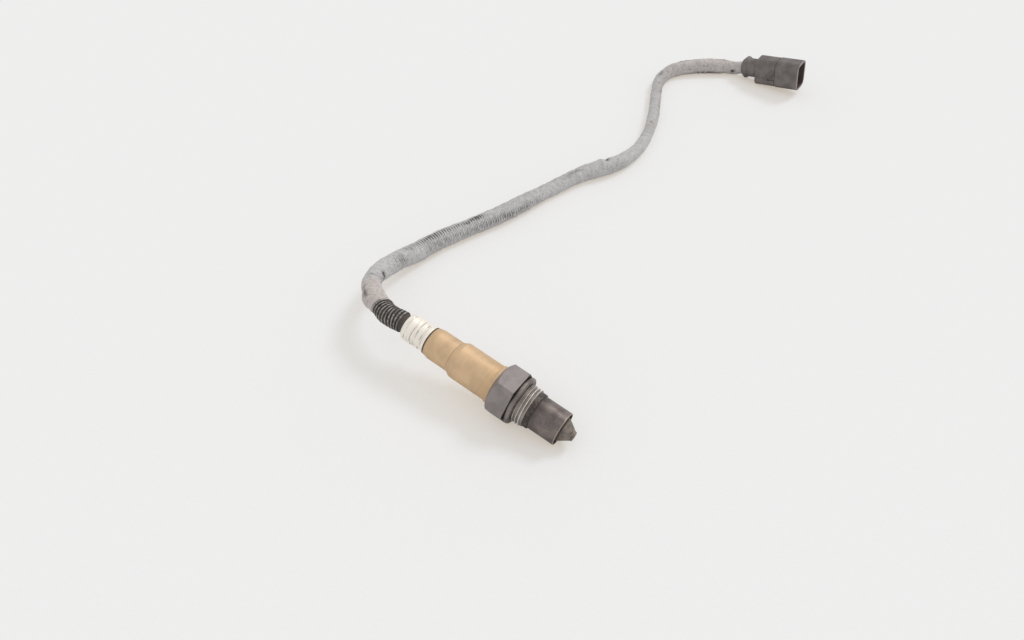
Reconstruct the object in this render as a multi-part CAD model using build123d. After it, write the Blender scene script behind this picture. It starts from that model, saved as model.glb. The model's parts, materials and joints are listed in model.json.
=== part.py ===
from build123d import *
import math
import os

# An automotive oxygen sensor with its cable and plug. All sizes are in millimetres.
#
# The sensor's pieces are drawn about the X axis: X = 0 is the hexagon's seat face, +X
# points to the measuring tip and -X to the cable. They are then laid nose down, so that
# the seal ring and the rim of the outer protection tube both touch the ground, Z = 0.
# The plug's pieces are drawn about an X axis of their own, from the cable entry to the
# mouth of the socket, and set down where the cable ends.

# ---- housing: hexagon, thread and rolled lip in one steel body ----
thread_diameter = 18.0
thread_length = 5.1
thread_chamfer = 0.5
relief_diameter = 16.0
relief_length = 2.3
lip_diameter = 16.4
lip_length = 2.5
lip_round = 0.5
hex_across_flats = 22.0
hex_length = 9.7
hex_roll = 56.5
hex_rear_face_diameter = 20.6
hex_rear_chamfer_angle = 40.0
hex_front_chamfer = 0.4
collar_diameter = 17.8
collar_length = 2.2
collar_round = 0.4
spigot_length = 5.0
tube_seat_depth = 3.4
chamber_diameter = 9.2
packing_diameter = 12.0
packing_shoulder = 1.0

# ---- seal ring, captive in the relief groove ----
ring_diameter = 22.2
ring_round = 1.0
ring_inner_round = 0.95

# ---- protection tubes ----
outer_tube_diameter = 15.2
outer_tube_wall = 0.5
outer_tube_projection = 22.7
outer_rim_round = 0.2
inner_tube_diameter = 11.2
inner_tube_wall = 0.45
inner_flange_thickness = 0.5
cone_length = 5.0
nose_diameter = 4.4
nose_length = 0.6
nose_hole_diameter = 1.6
gas_hole_diameter = 1.8
gas_hole_count = 8
gas_hole_distance = 3.0

# ---- sensing element and its packing ----
element_width = 4.6
element_thickness = 1.3
element_length = 56.0
element_projection = 20.0
front_bush_length = 6.0
front_bush_nose = 4.4
talc_length = 4.0
rear_bush_length = 8.5

# ---- stepped protective sleeve ----
sleeve_wall = 0.6
sleeve_diameter = 16.9
sleeve_length = 18.4
flare_length = 2.4
flare_round = 1.8
waist_diameter = 14.4
waist_length = 10.2
shoulder_diameter = 13.1
shoulder_length = 2.8
shoulder_round = 5.0
neck_diameter = 10.8
neck_length = 11.85

# ---- contact holder, contacts and clamp ----
holder_gap = 4.0
holder_length = 20.5
holder_flange_length = 2.5
contact_pitch = 1.7
contact_width = 0.9
contact_thickness = 0.3
contact_length = 16.0
contact_bow = 0.25
contact_bow_length = 2.0
contact_rise = 0.35
clamp_wall = 0.5
clamp_length = 5.0
clamp_distance = 6.5
clamp_slit = 2.0

# ---- wires and grommet ----
wire_diameter = 1.5
grommet_lead = 1.2

# ---- crimp sleeve over the neck ----
crimp_gap = 0.4
crimp_rim_diameter = 13.1
crimp_rim_length = 0.6
crimp_front_diameter = 12.4
crimp_rear_diameter = 12.8
crimp_shoulder = 1.6
crimp_round = 1.2
crimp_shoulder_drop = 0.9
crimp_lip = 0.5
groove_depth = 0.3
groove_section_diameter = 2.0
groove_distances = (2.1, 4.2, 5.9, 7.9)

# ---- corrugated boot ----
boot_flange = 0.6
boot_neck_diameter = 9.4
boot_root_diameter = 8.3
boot_rib_diameter = 9.9
boot_bore = 6.3
boot_straight = 0.6
boot_sag_length = 6.4
boot_sag_angle = 13.0
boot_sag_lean = -105.0
boot_bend_length = 10.4
boot_bend_angle = 36.0
boot_bend_lean = 0.0
rib_width = 1.0
rib_round = 0.35
rib_pitch = 1.5
rib_count = 10
rib_start = 2.9

# ---- plug: rear cap ----
cap_length = 10.3
cap_rise = 0.5
cap_entry_size = (8.6, 9.2)
cap_flange_size = (12.6, 13.7)
cap_flare_length = 2.4
cap_flange_thickness = 0.9
cap_fall_length = 1.6
cap_neck_size = (10.6, 11.7)
cap_bore = 6.6
cap_bore_length = 1.6
cap_chamber_diameter = 7.6
cap_pocket_size = (6.4, 9.0)
cap_pocket_corner = 1.5
cap_plug_length = 2.0

# ---- plug: body and socket ----
body_length = 14.0
body_width = 13.0
body_height = 16.8
shroud_length = 14.0
shroud_width = 13.4
shroud_height = 17.2
shroud_wall = 1.3
corner_round = 4.2
edge_round = 0.8
seal_width = 9.0
seal_height = 12.6
seal_corner = 2.4
seal_depth = 7.5
socket_depth = 13.4
window_length = 4.4
window_height = 7.0
window_depth = 0.7
window_margin = 0.5
dimple_diameter = 2.0
dimple_drop = 3.0

# ---- plug: terminals, lock plate and trimming chip ----
terminal_pitch = 3.6
terminal_rows = 4.2
spare_terminal = 2
blade_width = 1.5
blade_thickness = 0.64
blade_reach = 6.2
barrel_diameter = 2.4
barrel_length = 4.0
barrel_floor = 1.0
lock_thickness = 1.6
chip_size = (3.6, 1.0, 2.0)
chip_cover = 1.8

# ---- where the plug lies, and the cable between ----
plug_x = -7.65
plug_y = 312.8
plug_yaw = -0.86
plug_tilt = 9.7
cable_diameter = 8.2
cable_lead = 9.2
plug_lead = 9.0
arc_share = 0.45
# The cable's corners from the boot to the plug, past the first and before the last lead.
cable_corners = [
    (-65.80, 11.6, 18.0),
    (-71.00, 20.2, 14.6),
    (-73.30, 31.0, 10.6),
    (-72.80, 43.0, 7.4),
    (-71.00, 55.2, 5.2),
    (-67.20, 70.0, 4.3),
    (-59.60, 89.5, 4.15),
    (-50.40, 113.0, 4.15),
    (-44.20, 134.0, 4.15),
    (-36.70, 154.5, 4.15),
    (-31.10, 165.2, 4.15),
    (-24.60, 177.7, 4.15),
    (-21.60, 194.0, 4.15),
    (-24.90, 212.0, 4.15),
    (-31.90, 232.5, 4.15),
    (-40.20, 251.0, 4.15),
    (-47.00, 266.5, 4.15),
    (-47.50, 280.0, 4.15),
    (-43.10, 292.4, 4.15),
    (-35.10, 301.5, 4.15),
    (-26.60, 307.6, 4.15),
]

# ---- clearances ----
slip = 0.03
ease = 0.1


def turned(corners, rounds=()):
    """A solid of revolution about X. corners are (x, radius); rounds are (corner, radius)."""
    face = make_face(Polyline(*corners, close=True))
    for corner, radius in rounds:
        vertex = face.vertices().sort_by_distance((*corners[corner], 0))[0]
        face = fillet(vertex, radius)
    return revolve(face, Axis.X)


def rod(x_start, x_end, diameter, bore=0.0):
    """A plain round bar or tube about X."""
    return turned([(x_start, bore / 2), (x_end, bore / 2), (x_end, diameter / 2), (x_start, diameter / 2)])


def block(x_start, x_end, width, height, corner=0.0, y=0.0, z=0.0):
    """A bar along X with a rectangular section, its corners rounded where corner is given."""
    section = RectangleRounded(width, height, corner) if corner else Rectangle(width, height)
    return Pos(0, y, z) * extrude(Plane.YZ.offset(x_start) * section, amount=x_end - x_start)


# Stations along the sensor's axis.
thread_end = relief_length + thread_length
lip_end = thread_end + lip_length
tube_seat = lip_end - tube_seat_depth
hex_rear = -hex_length
collar_rear = hex_rear - collar_length
spigot_rear = collar_rear - spigot_length
talc_front = packing_shoulder - front_bush_length
talc_rear = talc_front - talc_length
stack_rear = talc_rear - rear_bush_length
flare_front = collar_rear - sleeve_length
flare_rear = flare_front - flare_length
shoulder_front = flare_rear - waist_length
neck_front = shoulder_front - shoulder_length
neck_rear = neck_front - neck_length
holder_front = stack_rear - holder_gap
holder_rear = holder_front - holder_length
crimp_front = neck_front - crimp_gap
boot_flange_rear = neck_rear - slip - boot_flange
crimp_lip_front = boot_flange_rear - slip
crimp_rear = crimp_lip_front - crimp_lip
bend_start = crimp_rear - boot_straight
nose_tip = outer_tube_projection + cone_length + nose_length - ease

sleeve_bore = sleeve_diameter - 2 * sleeve_wall
waist_bore = waist_diameter - 2 * sleeve_wall
neck_bore = neck_diameter - 2 * sleeve_wall
slot_width = element_width + 2 * slip
slot_height = element_thickness + 2 * slip


def housing():
    """Hexagon, relief groove, thread and lip outside; tube seat, chamber and packing bore inside."""
    section = RegularPolygon(hex_across_flats / 2, 6, major_radius=False, rotation=hex_roll)
    hexagon = extrude(Plane.YZ.offset(hex_rear) * section, amount=hex_length)
    corner_radius = hex_across_flats / math.sqrt(3)
    rear_radius = hex_rear_face_diameter / 2
    rear_chamfer = (corner_radius - rear_radius) * math.tan(math.radians(hex_rear_chamfer_angle))
    envelope = turned([
        (hex_rear, 0),
        (0, 0),
        (0, corner_radius - hex_front_chamfer),
        (-hex_front_chamfer, corner_radius),
        (hex_rear + rear_chamfer, corner_radius),
        (hex_rear, rear_radius),
    ])
    spigot_radius = sleeve_bore / 2 - slip
    stem = turned(
        [
            (spigot_rear, 0),
            (lip_end, 0),
            (lip_end, lip_diameter / 2),
            (thread_end, lip_diameter / 2),
            (thread_end, thread_diameter / 2 - thread_chamfer),
            (thread_end - thread_chamfer, thread_diameter / 2),
            (relief_length, thread_diameter / 2),
            (relief_length, relief_diameter / 2),
            (hex_rear, relief_diameter / 2),
            (hex_rear, collar_diameter / 2),
            (collar_rear, collar_diameter / 2),
            (collar_rear, spigot_radius),
            (spigot_rear, spigot_radius),
        ],
        rounds=[(2, lip_round), (10, collar_round)],
    )
    solid = (hexagon & envelope) + stem
    solid -= rod(tube_seat, lip_end, outer_tube_diameter + 2 * slip)
    solid -= rod(packing_shoulder, tube_seat, chamber_diameter)
    solid -= rod(spigot_rear, packing_shoulder, packing_diameter)
    return solid


def seal_ring():
    """A folded gasket ring, wider inside than the relief and narrower than the thread.

    Its inner round leaves a flat face that starts outside the thread."""
    inner = relief_diameter / 2 + ease
    outer = ring_diameter / 2
    front = relief_length - ease
    return turned(
        [(slip, inner), (front, inner), (front, outer), (slip, outer)],
        rounds=[(0, ring_inner_round), (1, ring_inner_round), (2, ring_round), (3, ring_round)],
    )


def outer_protection_tube():
    """A plain deep-drawn tube, open at the tip, seated in the housing's lip."""
    outer = outer_tube_diameter / 2
    inner = outer - outer_tube_wall
    rim = outer_tube_projection
    return turned(
        [(tube_seat, inner), (rim, inner), (rim, outer), (tube_seat, outer)],
        rounds=[(1, outer_rim_round), (2, outer_rim_round)],
    )


def inner_protection_tube():
    """A flanged tube whose closed cone stands out of the outer tube, with gas holes at its foot."""
    outer = inner_tube_diameter / 2
    inner = outer - inner_tube_wall
    cone_start = nose_tip - nose_length - cone_length
    nose = nose_diameter / 2
    hole = nose_hole_diameter / 2
    tube = turned(
        [
            (tube_seat, inner),
            (cone_start, inner),
            (nose_tip - nose_length, nose - inner_tube_wall),
            (nose_tip - inner_tube_wall, nose - inner_tube_wall),
            (nose_tip - inner_tube_wall, hole),
            (nose_tip, hole),
            (nose_tip, nose),
            (nose_tip - nose_length, nose),
            (cone_start, outer),
            (tube_seat + inner_flange_thickness, outer),
            (tube_seat + inner_flange_thickness, outer_tube_diameter / 2 - outer_tube_wall - slip),
            (tube_seat, outer_tube_diameter / 2 - outer_tube_wall - slip),
        ],
        rounds=[(6, nose_length / 2)],
    )
    hole_x = tube_seat + inner_flange_thickness + gas_hole_distance
    drill = Pos(hole_x, 0, 0) * Cylinder(
        gas_hole_diameter / 2, inner_tube_diameter, align=(Align.CENTER, Align.CENTER, Align.MIN)
    )
    for index in range(gas_hole_count):
        tube -= Rot(index * 360 / gas_hole_count, 0, 0) * drill
    return tube


def sensing_element():
    """The flat ceramic strip, from the tip's gas chamber back to the contacts."""
    return block(element_projection - element_length, element_projection, element_width, element_thickness)


def packing_piece(x_start, x_end, diameter):
    """A round ceramic or talc plug with the element's slot through it."""
    plug = rod(x_start, x_end, diameter)
    return plug - block(x_start, x_end, slot_width, slot_height)


def front_ceramic_bush():
    """Sits on the housing's inner shoulder, its nose in the gas chamber's bore."""
    head = packing_piece(talc_front, packing_shoulder, packing_diameter - 2 * slip)
    nose = packing_piece(packing_shoulder, packing_shoulder + front_bush_nose, chamber_diameter - 2 * slip)
    return head + nose


def talc_packing():
    """The pressed powder ring that seals the element to the housing."""
    return packing_piece(talc_rear, talc_front, packing_diameter - 2 * slip)


def rear_ceramic_bush():
    """Presses on the talc and guides the element on its way to the contacts."""
    return packing_piece(stack_rear, talc_rear, packing_diameter - 2 * slip)


def protective_sleeve():
    """The drawn sleeve: wide part, flare, waist, rounded shoulder and neck, of one wall."""
    outline = [
        (collar_rear, sleeve_diameter / 2),
        (flare_front, sleeve_diameter / 2),
        (flare_rear, waist_diameter / 2),
        (shoulder_front, waist_diameter / 2),
        (neck_front, shoulder_diameter / 2),
        (neck_front, neck_diameter / 2),
        (neck_rear, neck_diameter / 2),
    ]
    bore = [
        (neck_rear, neck_bore / 2),
        (neck_front + sleeve_wall, neck_bore / 2),
        (neck_front + sleeve_wall, shoulder_diameter / 2 - sleeve_wall),
        (shoulder_front, waist_bore / 2),
        (flare_rear, waist_bore / 2),
        (flare_front, sleeve_bore / 2),
        (collar_rear, sleeve_bore / 2),
    ]
    return turned(outline + bore, rounds=[(1, flare_round), (3, shoulder_round)])


def contact_rows():
    """(y, side) of each contact: three above the element and two below it."""
    upper = [(-contact_pitch, 1), (0, 1), (contact_pitch, 1)]
    lower = [(-contact_pitch / 2, -1), (contact_pitch / 2, -1)]
    return upper + lower


contact_height = element_thickness / 2 + contact_rise + contact_thickness / 2


def contact_springs():
    """Bowed strips that press on the element and run back to their wires."""
    rest = element_thickness / 2
    front = holder_rear + contact_length
    level = contact_height - contact_thickness / 2
    strips = []
    for y, side in contact_rows():
        lower = [
            (front, rest + contact_bow),
            (front - contact_bow_length, rest),
            (front - 2 * contact_bow_length, rest),
            (front - 4 * contact_bow_length, level),
            (holder_rear, level),
        ]
        upper = [(x, z + contact_thickness) for x, z in reversed(lower)]
        profile = make_face(Polyline(*[(x, side * z) for x, z in lower + upper], close=True))
        strip = extrude(Plane.XZ * profile, amount=contact_width / 2, both=True)
        strips.append(Pos(0, y, 0) * strip)
    return Compound(strips)


def contact_holder(side):
    """Half of the ceramic holder: a flanged half cylinder with a channel for the contacts."""
    body_radius = waist_bore / 2 - clamp_wall - 2 * ease
    flange_radius = sleeve_bore / 2 - 2 * ease
    shell = turned([
        (holder_rear, 0),
        (holder_front, 0),
        (holder_front, flange_radius),
        (holder_front - holder_flange_length, flange_radius),
        (holder_front - holder_flange_length, body_radius),
        (holder_rear, body_radius),
    ])
    channel_height = 2 * (contact_height + contact_thickness)
    channel = block(holder_rear, holder_front, element_width + 4 * slip, channel_height)
    reach = sleeve_diameter
    half = block(holder_rear, holder_front, reach, reach / 2, z=side * reach / 4)
    return (shell - channel) & half


def contact_clamp_ring():
    """The slit spring band that holds the two halves on the contacts."""
    inner = waist_bore / 2 - clamp_wall - ease
    front = holder_front - clamp_distance
    band = rod(front - clamp_length, front, 2 * (inner + clamp_wall), 2 * inner)
    return band - block(front - clamp_length, front, waist_diameter, clamp_slit, y=waist_diameter / 2)


def bend_line(length, angle, lean):
    """The axis, as a line, of a bend that starts where the boot's straight part ends.

    The bend leaves in line with the sensor and leans to one side."""
    radius = length / math.radians(angle)
    side = Vector(0, math.cos(math.radians(lean)), math.sin(math.radians(lean)))
    centre = Vector(bend_start, 0, 0) + side * radius
    return Line(centre, centre + Vector(-1, 0, 0).cross(side))


def axis_of(line):
    """The axis that runs along a line."""
    return Axis(line @ 0, line % 0)


# The boot sags first, then bends to one side: the second axis is carried round the first.
sag_axis = axis_of(bend_line(boot_sag_length, boot_sag_angle, boot_sag_lean))
bend_axis = axis_of(
    bend_line(boot_bend_length, boot_bend_angle, boot_bend_lean).rotate(sag_axis, boot_sag_angle)
)


def carried(shape, distance):
    """Moves a shape from the start of the bends to a distance along them."""
    sag = min(distance / boot_sag_length, 1) * boot_sag_angle
    bend = max(distance - boot_sag_length, 0) / boot_bend_length * boot_bend_angle
    return shape.rotate(sag_axis, sag).rotate(bend_axis, bend)


def along_boot(section, x_start):
    """Carries a section in the YZ plane back from x_start and round the boot's two bends."""
    start = Plane.YZ.offset(bend_start) * section
    straight = extrude(start, amount=x_start - bend_start)
    sag = revolve(start, sag_axis, boot_sag_angle)
    return straight + sag + revolve(start.rotate(sag_axis, boot_sag_angle), bend_axis, boot_bend_angle)


exit_line = carried(
    Line((bend_start, 0, 0), (bend_start - 1, 0, 0)),
    boot_sag_length + boot_bend_length,
)


def lead_wire(number):
    """One insulated wire, from its contact through the grommet to the end of the boot."""
    y, side = contact_rows()[number]
    return along_boot(Pos(y, side * contact_height) * Circle(wire_diameter / 2), holder_rear)


def wire_grommet():
    """The rubber plug in the sleeve's neck, with one hole for each wire."""
    plug = rod(neck_rear, neck_front + grommet_lead, neck_bore - 2 * slip)
    for y, side in contact_rows():
        hole = rod(neck_rear, neck_front + grommet_lead, wire_diameter + 2 * slip)
        plug -= Pos(0, y, side * contact_height) * hole
    return plug


def crimp_sleeve():
    """The outer sleeve pressed on the neck, with rolled grooves and a lip over the boot's flange."""
    inner = neck_diameter / 2 + slip
    front_radius = crimp_front_diameter / 2
    rear_radius = crimp_rear_diameter / 2
    lip_radius = boot_neck_diameter / 2 + slip
    shoulder_x = crimp_rear + crimp_shoulder
    rim_radius = crimp_rim_diameter / 2
    rim_rear = crimp_front - crimp_rim_length
    barrel_front = rim_rear - crimp_rim_length
    sleeve = turned(
        [
            (crimp_front, inner),
            (crimp_front, rim_radius),
            (rim_rear, rim_radius),
            (barrel_front, front_radius),
            (shoulder_x, rear_radius),
            (crimp_rear, rear_radius - crimp_shoulder_drop),
            (crimp_rear, lip_radius),
            (crimp_lip_front, lip_radius),
            (crimp_lip_front, inner),
        ],
        rounds=[(4, crimp_round), (5, crimp_lip)],
    )
    slope = (rear_radius - front_radius) / (barrel_front - shoulder_x)
    for distance in groove_distances:
        surface = front_radius + distance * slope
        groove = Torus(surface + groove_section_diameter / 2 - groove_depth, groove_section_diameter / 2)
        sleeve -= Pos(crimp_front - distance, 0, 0) * Rot(0, 90, 0) * groove
    return sleeve


def corrugated_boot():
    """A flanged rubber sleeve with round ribs, bent where the cable leaves it."""
    flange = rod(boot_flange_rear, neck_rear - slip, neck_diameter - 2 * slip)
    neck = rod(crimp_rear, boot_flange_rear, boot_neck_diameter)
    boot = along_boot(Circle(boot_root_diameter / 2), crimp_rear) + neck + flange
    rib = turned(
        [
            (bend_start - rib_width / 2, 0),
            (bend_start + rib_width / 2, 0),
            (bend_start + rib_width / 2, boot_rib_diameter / 2),
            (bend_start - rib_width / 2, boot_rib_diameter / 2),
        ],
        rounds=[(2, rib_round), (3, rib_round)],
    )
    for index in range(rib_count):
        boot += carried(rib, rib_start + index * rib_pitch - boot_straight)
    return boot - along_boot(Circle(boot_bore / 2), neck_rear)


def resting_tilt():
    """Nose-down angle, in degrees, at which the ring and the tube's rim touch one plane."""
    ring_x = relief_length - ease - ring_round
    ring_r = ring_diameter / 2 - ring_round
    rim_x = outer_tube_projection - outer_rim_round
    rim_r = outer_tube_diameter / 2 - outer_rim_round
    run = rim_x - ring_x
    drop = ring_r - rim_r
    span = math.hypot(run, drop)
    return math.degrees(math.atan2(drop, run) + math.asin((ring_round - outer_rim_round) / span))


# ---- plug ----
body_front = cap_length + body_length
mouth = body_front + shroud_length
socket_floor = mouth - socket_depth
seal_front = cap_length + seal_depth
chip_front = socket_floor - chip_cover
chip_rear = chip_front - chip_size[0]


def terminal_places():
    """(y, z) of the six terminals, in two upright rows of three."""
    rows = (-terminal_rows / 2, terminal_rows / 2)
    levels = (terminal_pitch, 0, -terminal_pitch)
    return [(y, z) for z in levels for y in rows]


def connector_cap():
    """An oval cap that flares from the cable to a flange, then necks down into the body."""
    flange_end = cap_flare_length + cap_flange_thickness
    neck_start = flange_end + cap_fall_length

    def oval(x, size):
        return Plane.YZ.offset(x) * Pos(0, cap_rise) * Ellipse(size[0] / 2, size[1] / 2)

    flange = oval(cap_flare_length, cap_flange_size)
    neck = oval(neck_start, cap_neck_size)
    cap = loft([oval(0, cap_entry_size), flange])
    cap += extrude(flange, amount=cap_flange_thickness)
    cap += loft([oval(flange_end, cap_flange_size), neck])
    cap += extrude(neck, amount=cap_length - neck_start)
    plug_end = cap_length + cap_plug_length
    cap += block(cap_length, plug_end, seal_width - 2 * slip, seal_height - 2 * slip, seal_corner)
    cap -= Pos(0, 0, cap_rise) * rod(0, cap_bore_length, cap_bore)
    cap -= Pos(0, 0, cap_rise) * rod(cap_bore_length, cap_flare_length, cap_chamber_diameter)
    return cap - block(cap_flare_length, plug_end, *cap_pocket_size, cap_pocket_corner)


def connector_housing():
    """Rounded upright body and open shroud, hollow at both ends, with terminal bores between."""
    body = block(cap_length, body_front, body_width, body_height, corner_round)
    body = fillet(body.faces().sort_by(Axis.X)[0].edges(), edge_round)
    shroud = block(body_front, mouth, shroud_width, shroud_height, corner_round)
    shell = body + shroud
    shell -= block(cap_length, seal_front, seal_width, seal_height, seal_corner)
    shell -= block(
        socket_floor,
        mouth,
        shroud_width - 2 * shroud_wall,
        shroud_height - 2 * shroud_wall,
        corner_round - shroud_wall,
    )
    for y, z in terminal_places():
        shell -= Pos(0, y, z) * rod(seal_front, seal_front + barrel_length, barrel_diameter + 2 * slip)
        blade_start = seal_front + barrel_length
        shell -= block(blade_start, socket_floor, blade_thickness + 2 * slip, blade_width + 2 * slip, y=y, z=z)
    shell -= block(chip_rear - slip, chip_front + slip, chip_size[1] + 2 * slip, chip_size[2] + 2 * slip)
    window_x = body_front - window_length
    window = Polyline(
        (body_front - window_margin, window_height / 2),
        (body_front - window_margin, -window_height / 2),
        (window_x, -window_height / 2),
        close=True,
    )
    cutter = extrude(Plane.XZ * make_face(window), amount=window_depth, both=True)
    shell -= Pos(0, -body_width / 2, 0) * cutter
    dimple = Cylinder(dimple_diameter / 2, 2 * window_depth, rotation=(90, 0, 0))
    shell -= Pos(window_x, -body_width / 2, -dimple_drop) * dimple
    return shell


def wire_seal():
    """The silicone block behind the terminals, with one hole for each place."""
    start = cap_length + cap_plug_length + ease
    seal = block(start, seal_front, seal_width - 2 * slip, seal_height - 2 * slip, seal_corner)
    for y, z in terminal_places():
        seal -= Pos(0, y, z) * rod(start, seal_front, wire_diameter + 2 * slip)
    return seal


def terminal(y, z):
    """A male terminal: round crimp barrel behind, flat blade into the socket."""
    barrel_end = seal_front + barrel_length
    barrel = rod(seal_front, barrel_end, barrel_diameter)
    barrel -= rod(seal_front, barrel_end - barrel_floor, wire_diameter + 2 * slip)
    blade = block(barrel_end, socket_floor + blade_reach, blade_thickness, blade_width)
    return Pos(0, y, z) * (barrel + blade)


def terminal_pins():
    """All six terminals, each a separate solid."""
    return Compound([terminal(y, z) for y, z in terminal_places()])


def plug_wires():
    """Five wires fanned out from the cable to their terminals."""
    wires = []
    fan_end = cap_length + cap_plug_length
    places = terminal_places()
    places.pop(spare_terminal)
    for (bundle_y, side), (y, z) in zip(contact_rows(), places):
        bundle_z = side * contact_height + cap_rise
        route = FilletPolyline(
            (0, bundle_y, bundle_z),
            (cap_bore_length, bundle_y, bundle_z),
            (fan_end, y, z),
            (seal_front + barrel_length - barrel_floor, y, z),
            radius=wire_diameter,
        )
        wires.append(sweep(Plane.YZ * Pos(bundle_y, bundle_z) * Circle(wire_diameter / 2), path=route))
    return Compound(wires)


def terminal_lock():
    """A flat plate on the socket's floor with a slot round each blade."""
    plate = block(
        socket_floor,
        socket_floor + lock_thickness,
        shroud_width - 2 * (shroud_wall + ease),
        shroud_height - 2 * (shroud_wall + ease),
        corner_round - shroud_wall - ease,
    )
    for y, z in terminal_places():
        plate -= block(
            socket_floor,
            socket_floor + lock_thickness,
            blade_thickness + 2 * slip,
            blade_width + 2 * slip,
            y=y,
            z=z,
        )
    return plate


def trim_chip():
    """The small trimming resistor sealed in the wall between the terminal rows."""
    return block(chip_rear, chip_front, chip_size[1], chip_size[2])


sensor = {
    "housing": housing(),
    "seal_ring": seal_ring(),
    "outer_protection_tube": outer_protection_tube(),
    "inner_protection_tube": inner_protection_tube(),
    "sensing_element": sensing_element(),
    "front_ceramic_bush": front_ceramic_bush(),
    "talc_packing": talc_packing(),
    "rear_ceramic_bush": rear_ceramic_bush(),
    "protective_sleeve": protective_sleeve(),
    "contact_holder_upper": contact_holder(1),
    "contact_holder_lower": contact_holder(-1),
    "contact_springs": contact_springs(),
    "contact_clamp_ring": contact_clamp_ring(),
    "wire_grommet": wire_grommet(),
    "crimp_sleeve": crimp_sleeve(),
    "corrugated_boot": corrugated_boot(),
}
for number in range(len(contact_rows())):
    sensor[f"lead_wire_{number + 1}"] = lead_wire(number)

tilt = Rot(0, resting_tilt(), 0)
box = Compound([tilt * piece for piece in sensor.values()]).bounding_box()
lay_down = Pos(-box.center().X, -box.center().Y, -box.min.Z) * tilt

plug = {
    "connector_cap": connector_cap(),
    "connector_housing": connector_housing(),
    "wire_seal": wire_seal(),
    "terminal_pins": terminal_pins(),
    "plug_wires": plug_wires(),
    "terminal_lock": terminal_lock(),
    "trim_chip": trim_chip(),
}
turn = Rot(0, 0, plug_yaw) * Rot(0, -plug_tilt, 0)
plug_box = Compound([turn * piece for piece in plug.values()]).bounding_box()
set_down = Pos(plug_x, plug_y, -plug_box.min.Z) * turn


def cable_route():
    """The cable's corners, with a straight lead out of the boot and another into the plug."""
    start = (lay_down * Pos(*(exit_line @ 0))).position
    heading = (lay_down * Pos(*(exit_line @ 1))).position - start
    end = (set_down * Pos(0, 0, cap_rise)).position
    inward = (set_down * Pos(1, 0, cap_rise)).position - end
    corners = [Vector(*corner) for corner in cable_corners]
    return [start, start + heading * cable_lead, *corners, end - inward * plug_lead, end]


def cable():
    """A round cable of straight runs joined by the largest arcs that fit them."""
    points = cable_route()
    radii = []
    for before, corner, after in zip(points, points[1:], points[2:]):
        arriving = corner - before
        leaving = after - corner
        half_turn = math.radians(arriving.get_angle(leaving)) / 2
        radii.append(arc_share * min(arriving.length, leaving.length) / math.tan(half_turn))
    path = FilletPolyline(*points, radius=radii)
    section = Plane(origin=points[0], z_dir=points[1] - points[0]) * Circle(cable_diameter / 2)
    tube = sweep(section, path=path)
    print("cable radii", [round(radius, 1) for radius in radii])
    print("cable length", round(path.length, 1), "diameter", cable_diameter)
    expected = math.pi * (cable_diameter / 2) ** 2 * path.length
    print("cable volume", round(tube.volume, 1), "section times length", round(expected, 1))
    for point in points:
        print(f"    ({point.X:.2f}, {point.Y:.2f}, {point.Z:.2f}),")
    return tube


os.makedirs("parts", exist_ok=True)
for name, piece in sensor.items():
    export_step(lay_down * piece, f"parts/{name}.step")
for name, piece in plug.items():
    export_step(set_down * piece, f"parts/{name}.step")
export_step(cable(), "parts/cable.step")
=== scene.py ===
import json
import math

import bpy
import numpy as np
from mathutils import Matrix, Vector


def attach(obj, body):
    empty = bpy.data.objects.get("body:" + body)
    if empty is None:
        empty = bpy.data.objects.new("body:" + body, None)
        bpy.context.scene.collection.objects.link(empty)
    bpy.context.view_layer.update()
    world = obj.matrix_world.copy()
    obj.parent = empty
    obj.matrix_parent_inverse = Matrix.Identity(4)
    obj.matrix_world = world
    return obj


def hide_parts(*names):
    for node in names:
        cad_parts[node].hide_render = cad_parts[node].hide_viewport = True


bl_info = {
    "name": "Oxygen sensor dressing",
    "version": (1, 0, 0),
    "blender": (4, 5, 0),
    "location": "View3D > Sidebar > Sensor",
    "description": "Gives a packed oxygen sensor its thread, boot, cable, finishes and studio",
    "category": "Object",
}

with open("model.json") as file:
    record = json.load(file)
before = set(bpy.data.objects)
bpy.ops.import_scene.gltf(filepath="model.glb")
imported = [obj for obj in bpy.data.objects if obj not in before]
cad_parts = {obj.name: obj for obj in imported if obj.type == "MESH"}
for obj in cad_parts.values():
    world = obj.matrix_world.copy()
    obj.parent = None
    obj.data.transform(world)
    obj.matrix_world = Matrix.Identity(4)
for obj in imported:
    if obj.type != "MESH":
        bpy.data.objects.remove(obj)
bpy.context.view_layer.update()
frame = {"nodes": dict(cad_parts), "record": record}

MM = 0.001
# The cable's nominal diameter, in millimetres.
NOMINAL_CABLE = 8.2


# ---- places, from the frame's mounts ----


def mount(name):
    """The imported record's mount of that name."""
    return next(m for m in frame["record"]["mounts"] if m["name"] == name)


class Place:
    """A frame of its own: x along an axis, y level, z square to both."""

    def __init__(self, origin, axis):
        x_axis = np.array(axis, float)
        x_axis /= np.linalg.norm(x_axis)
        y_axis = np.cross((0.0, 0.0, 1.0), x_axis)
        y_axis /= np.linalg.norm(y_axis)
        self.origin = np.array(origin, float)
        self.axes = np.column_stack([x_axis, y_axis, np.cross(x_axis, y_axis)])

    def set(self, points):
        """Points of this frame, in metres, carried to the shared frame."""
        return self.origin + points @ self.axes.T

    def matrix(self):
        """The same as a 4 x 4 matrix."""
        found = Matrix(self.axes.tolist()).to_4x4()
        found.translation = Vector(self.origin)
        return found


def behind(place, distance):
    """The point at that distance behind a mount, along its axis."""
    return np.array(place["pos_m"]) - distance * np.array(place["axis"])


thread_mount = mount("thread")
socket_mount = mount("plug_socket")
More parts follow.
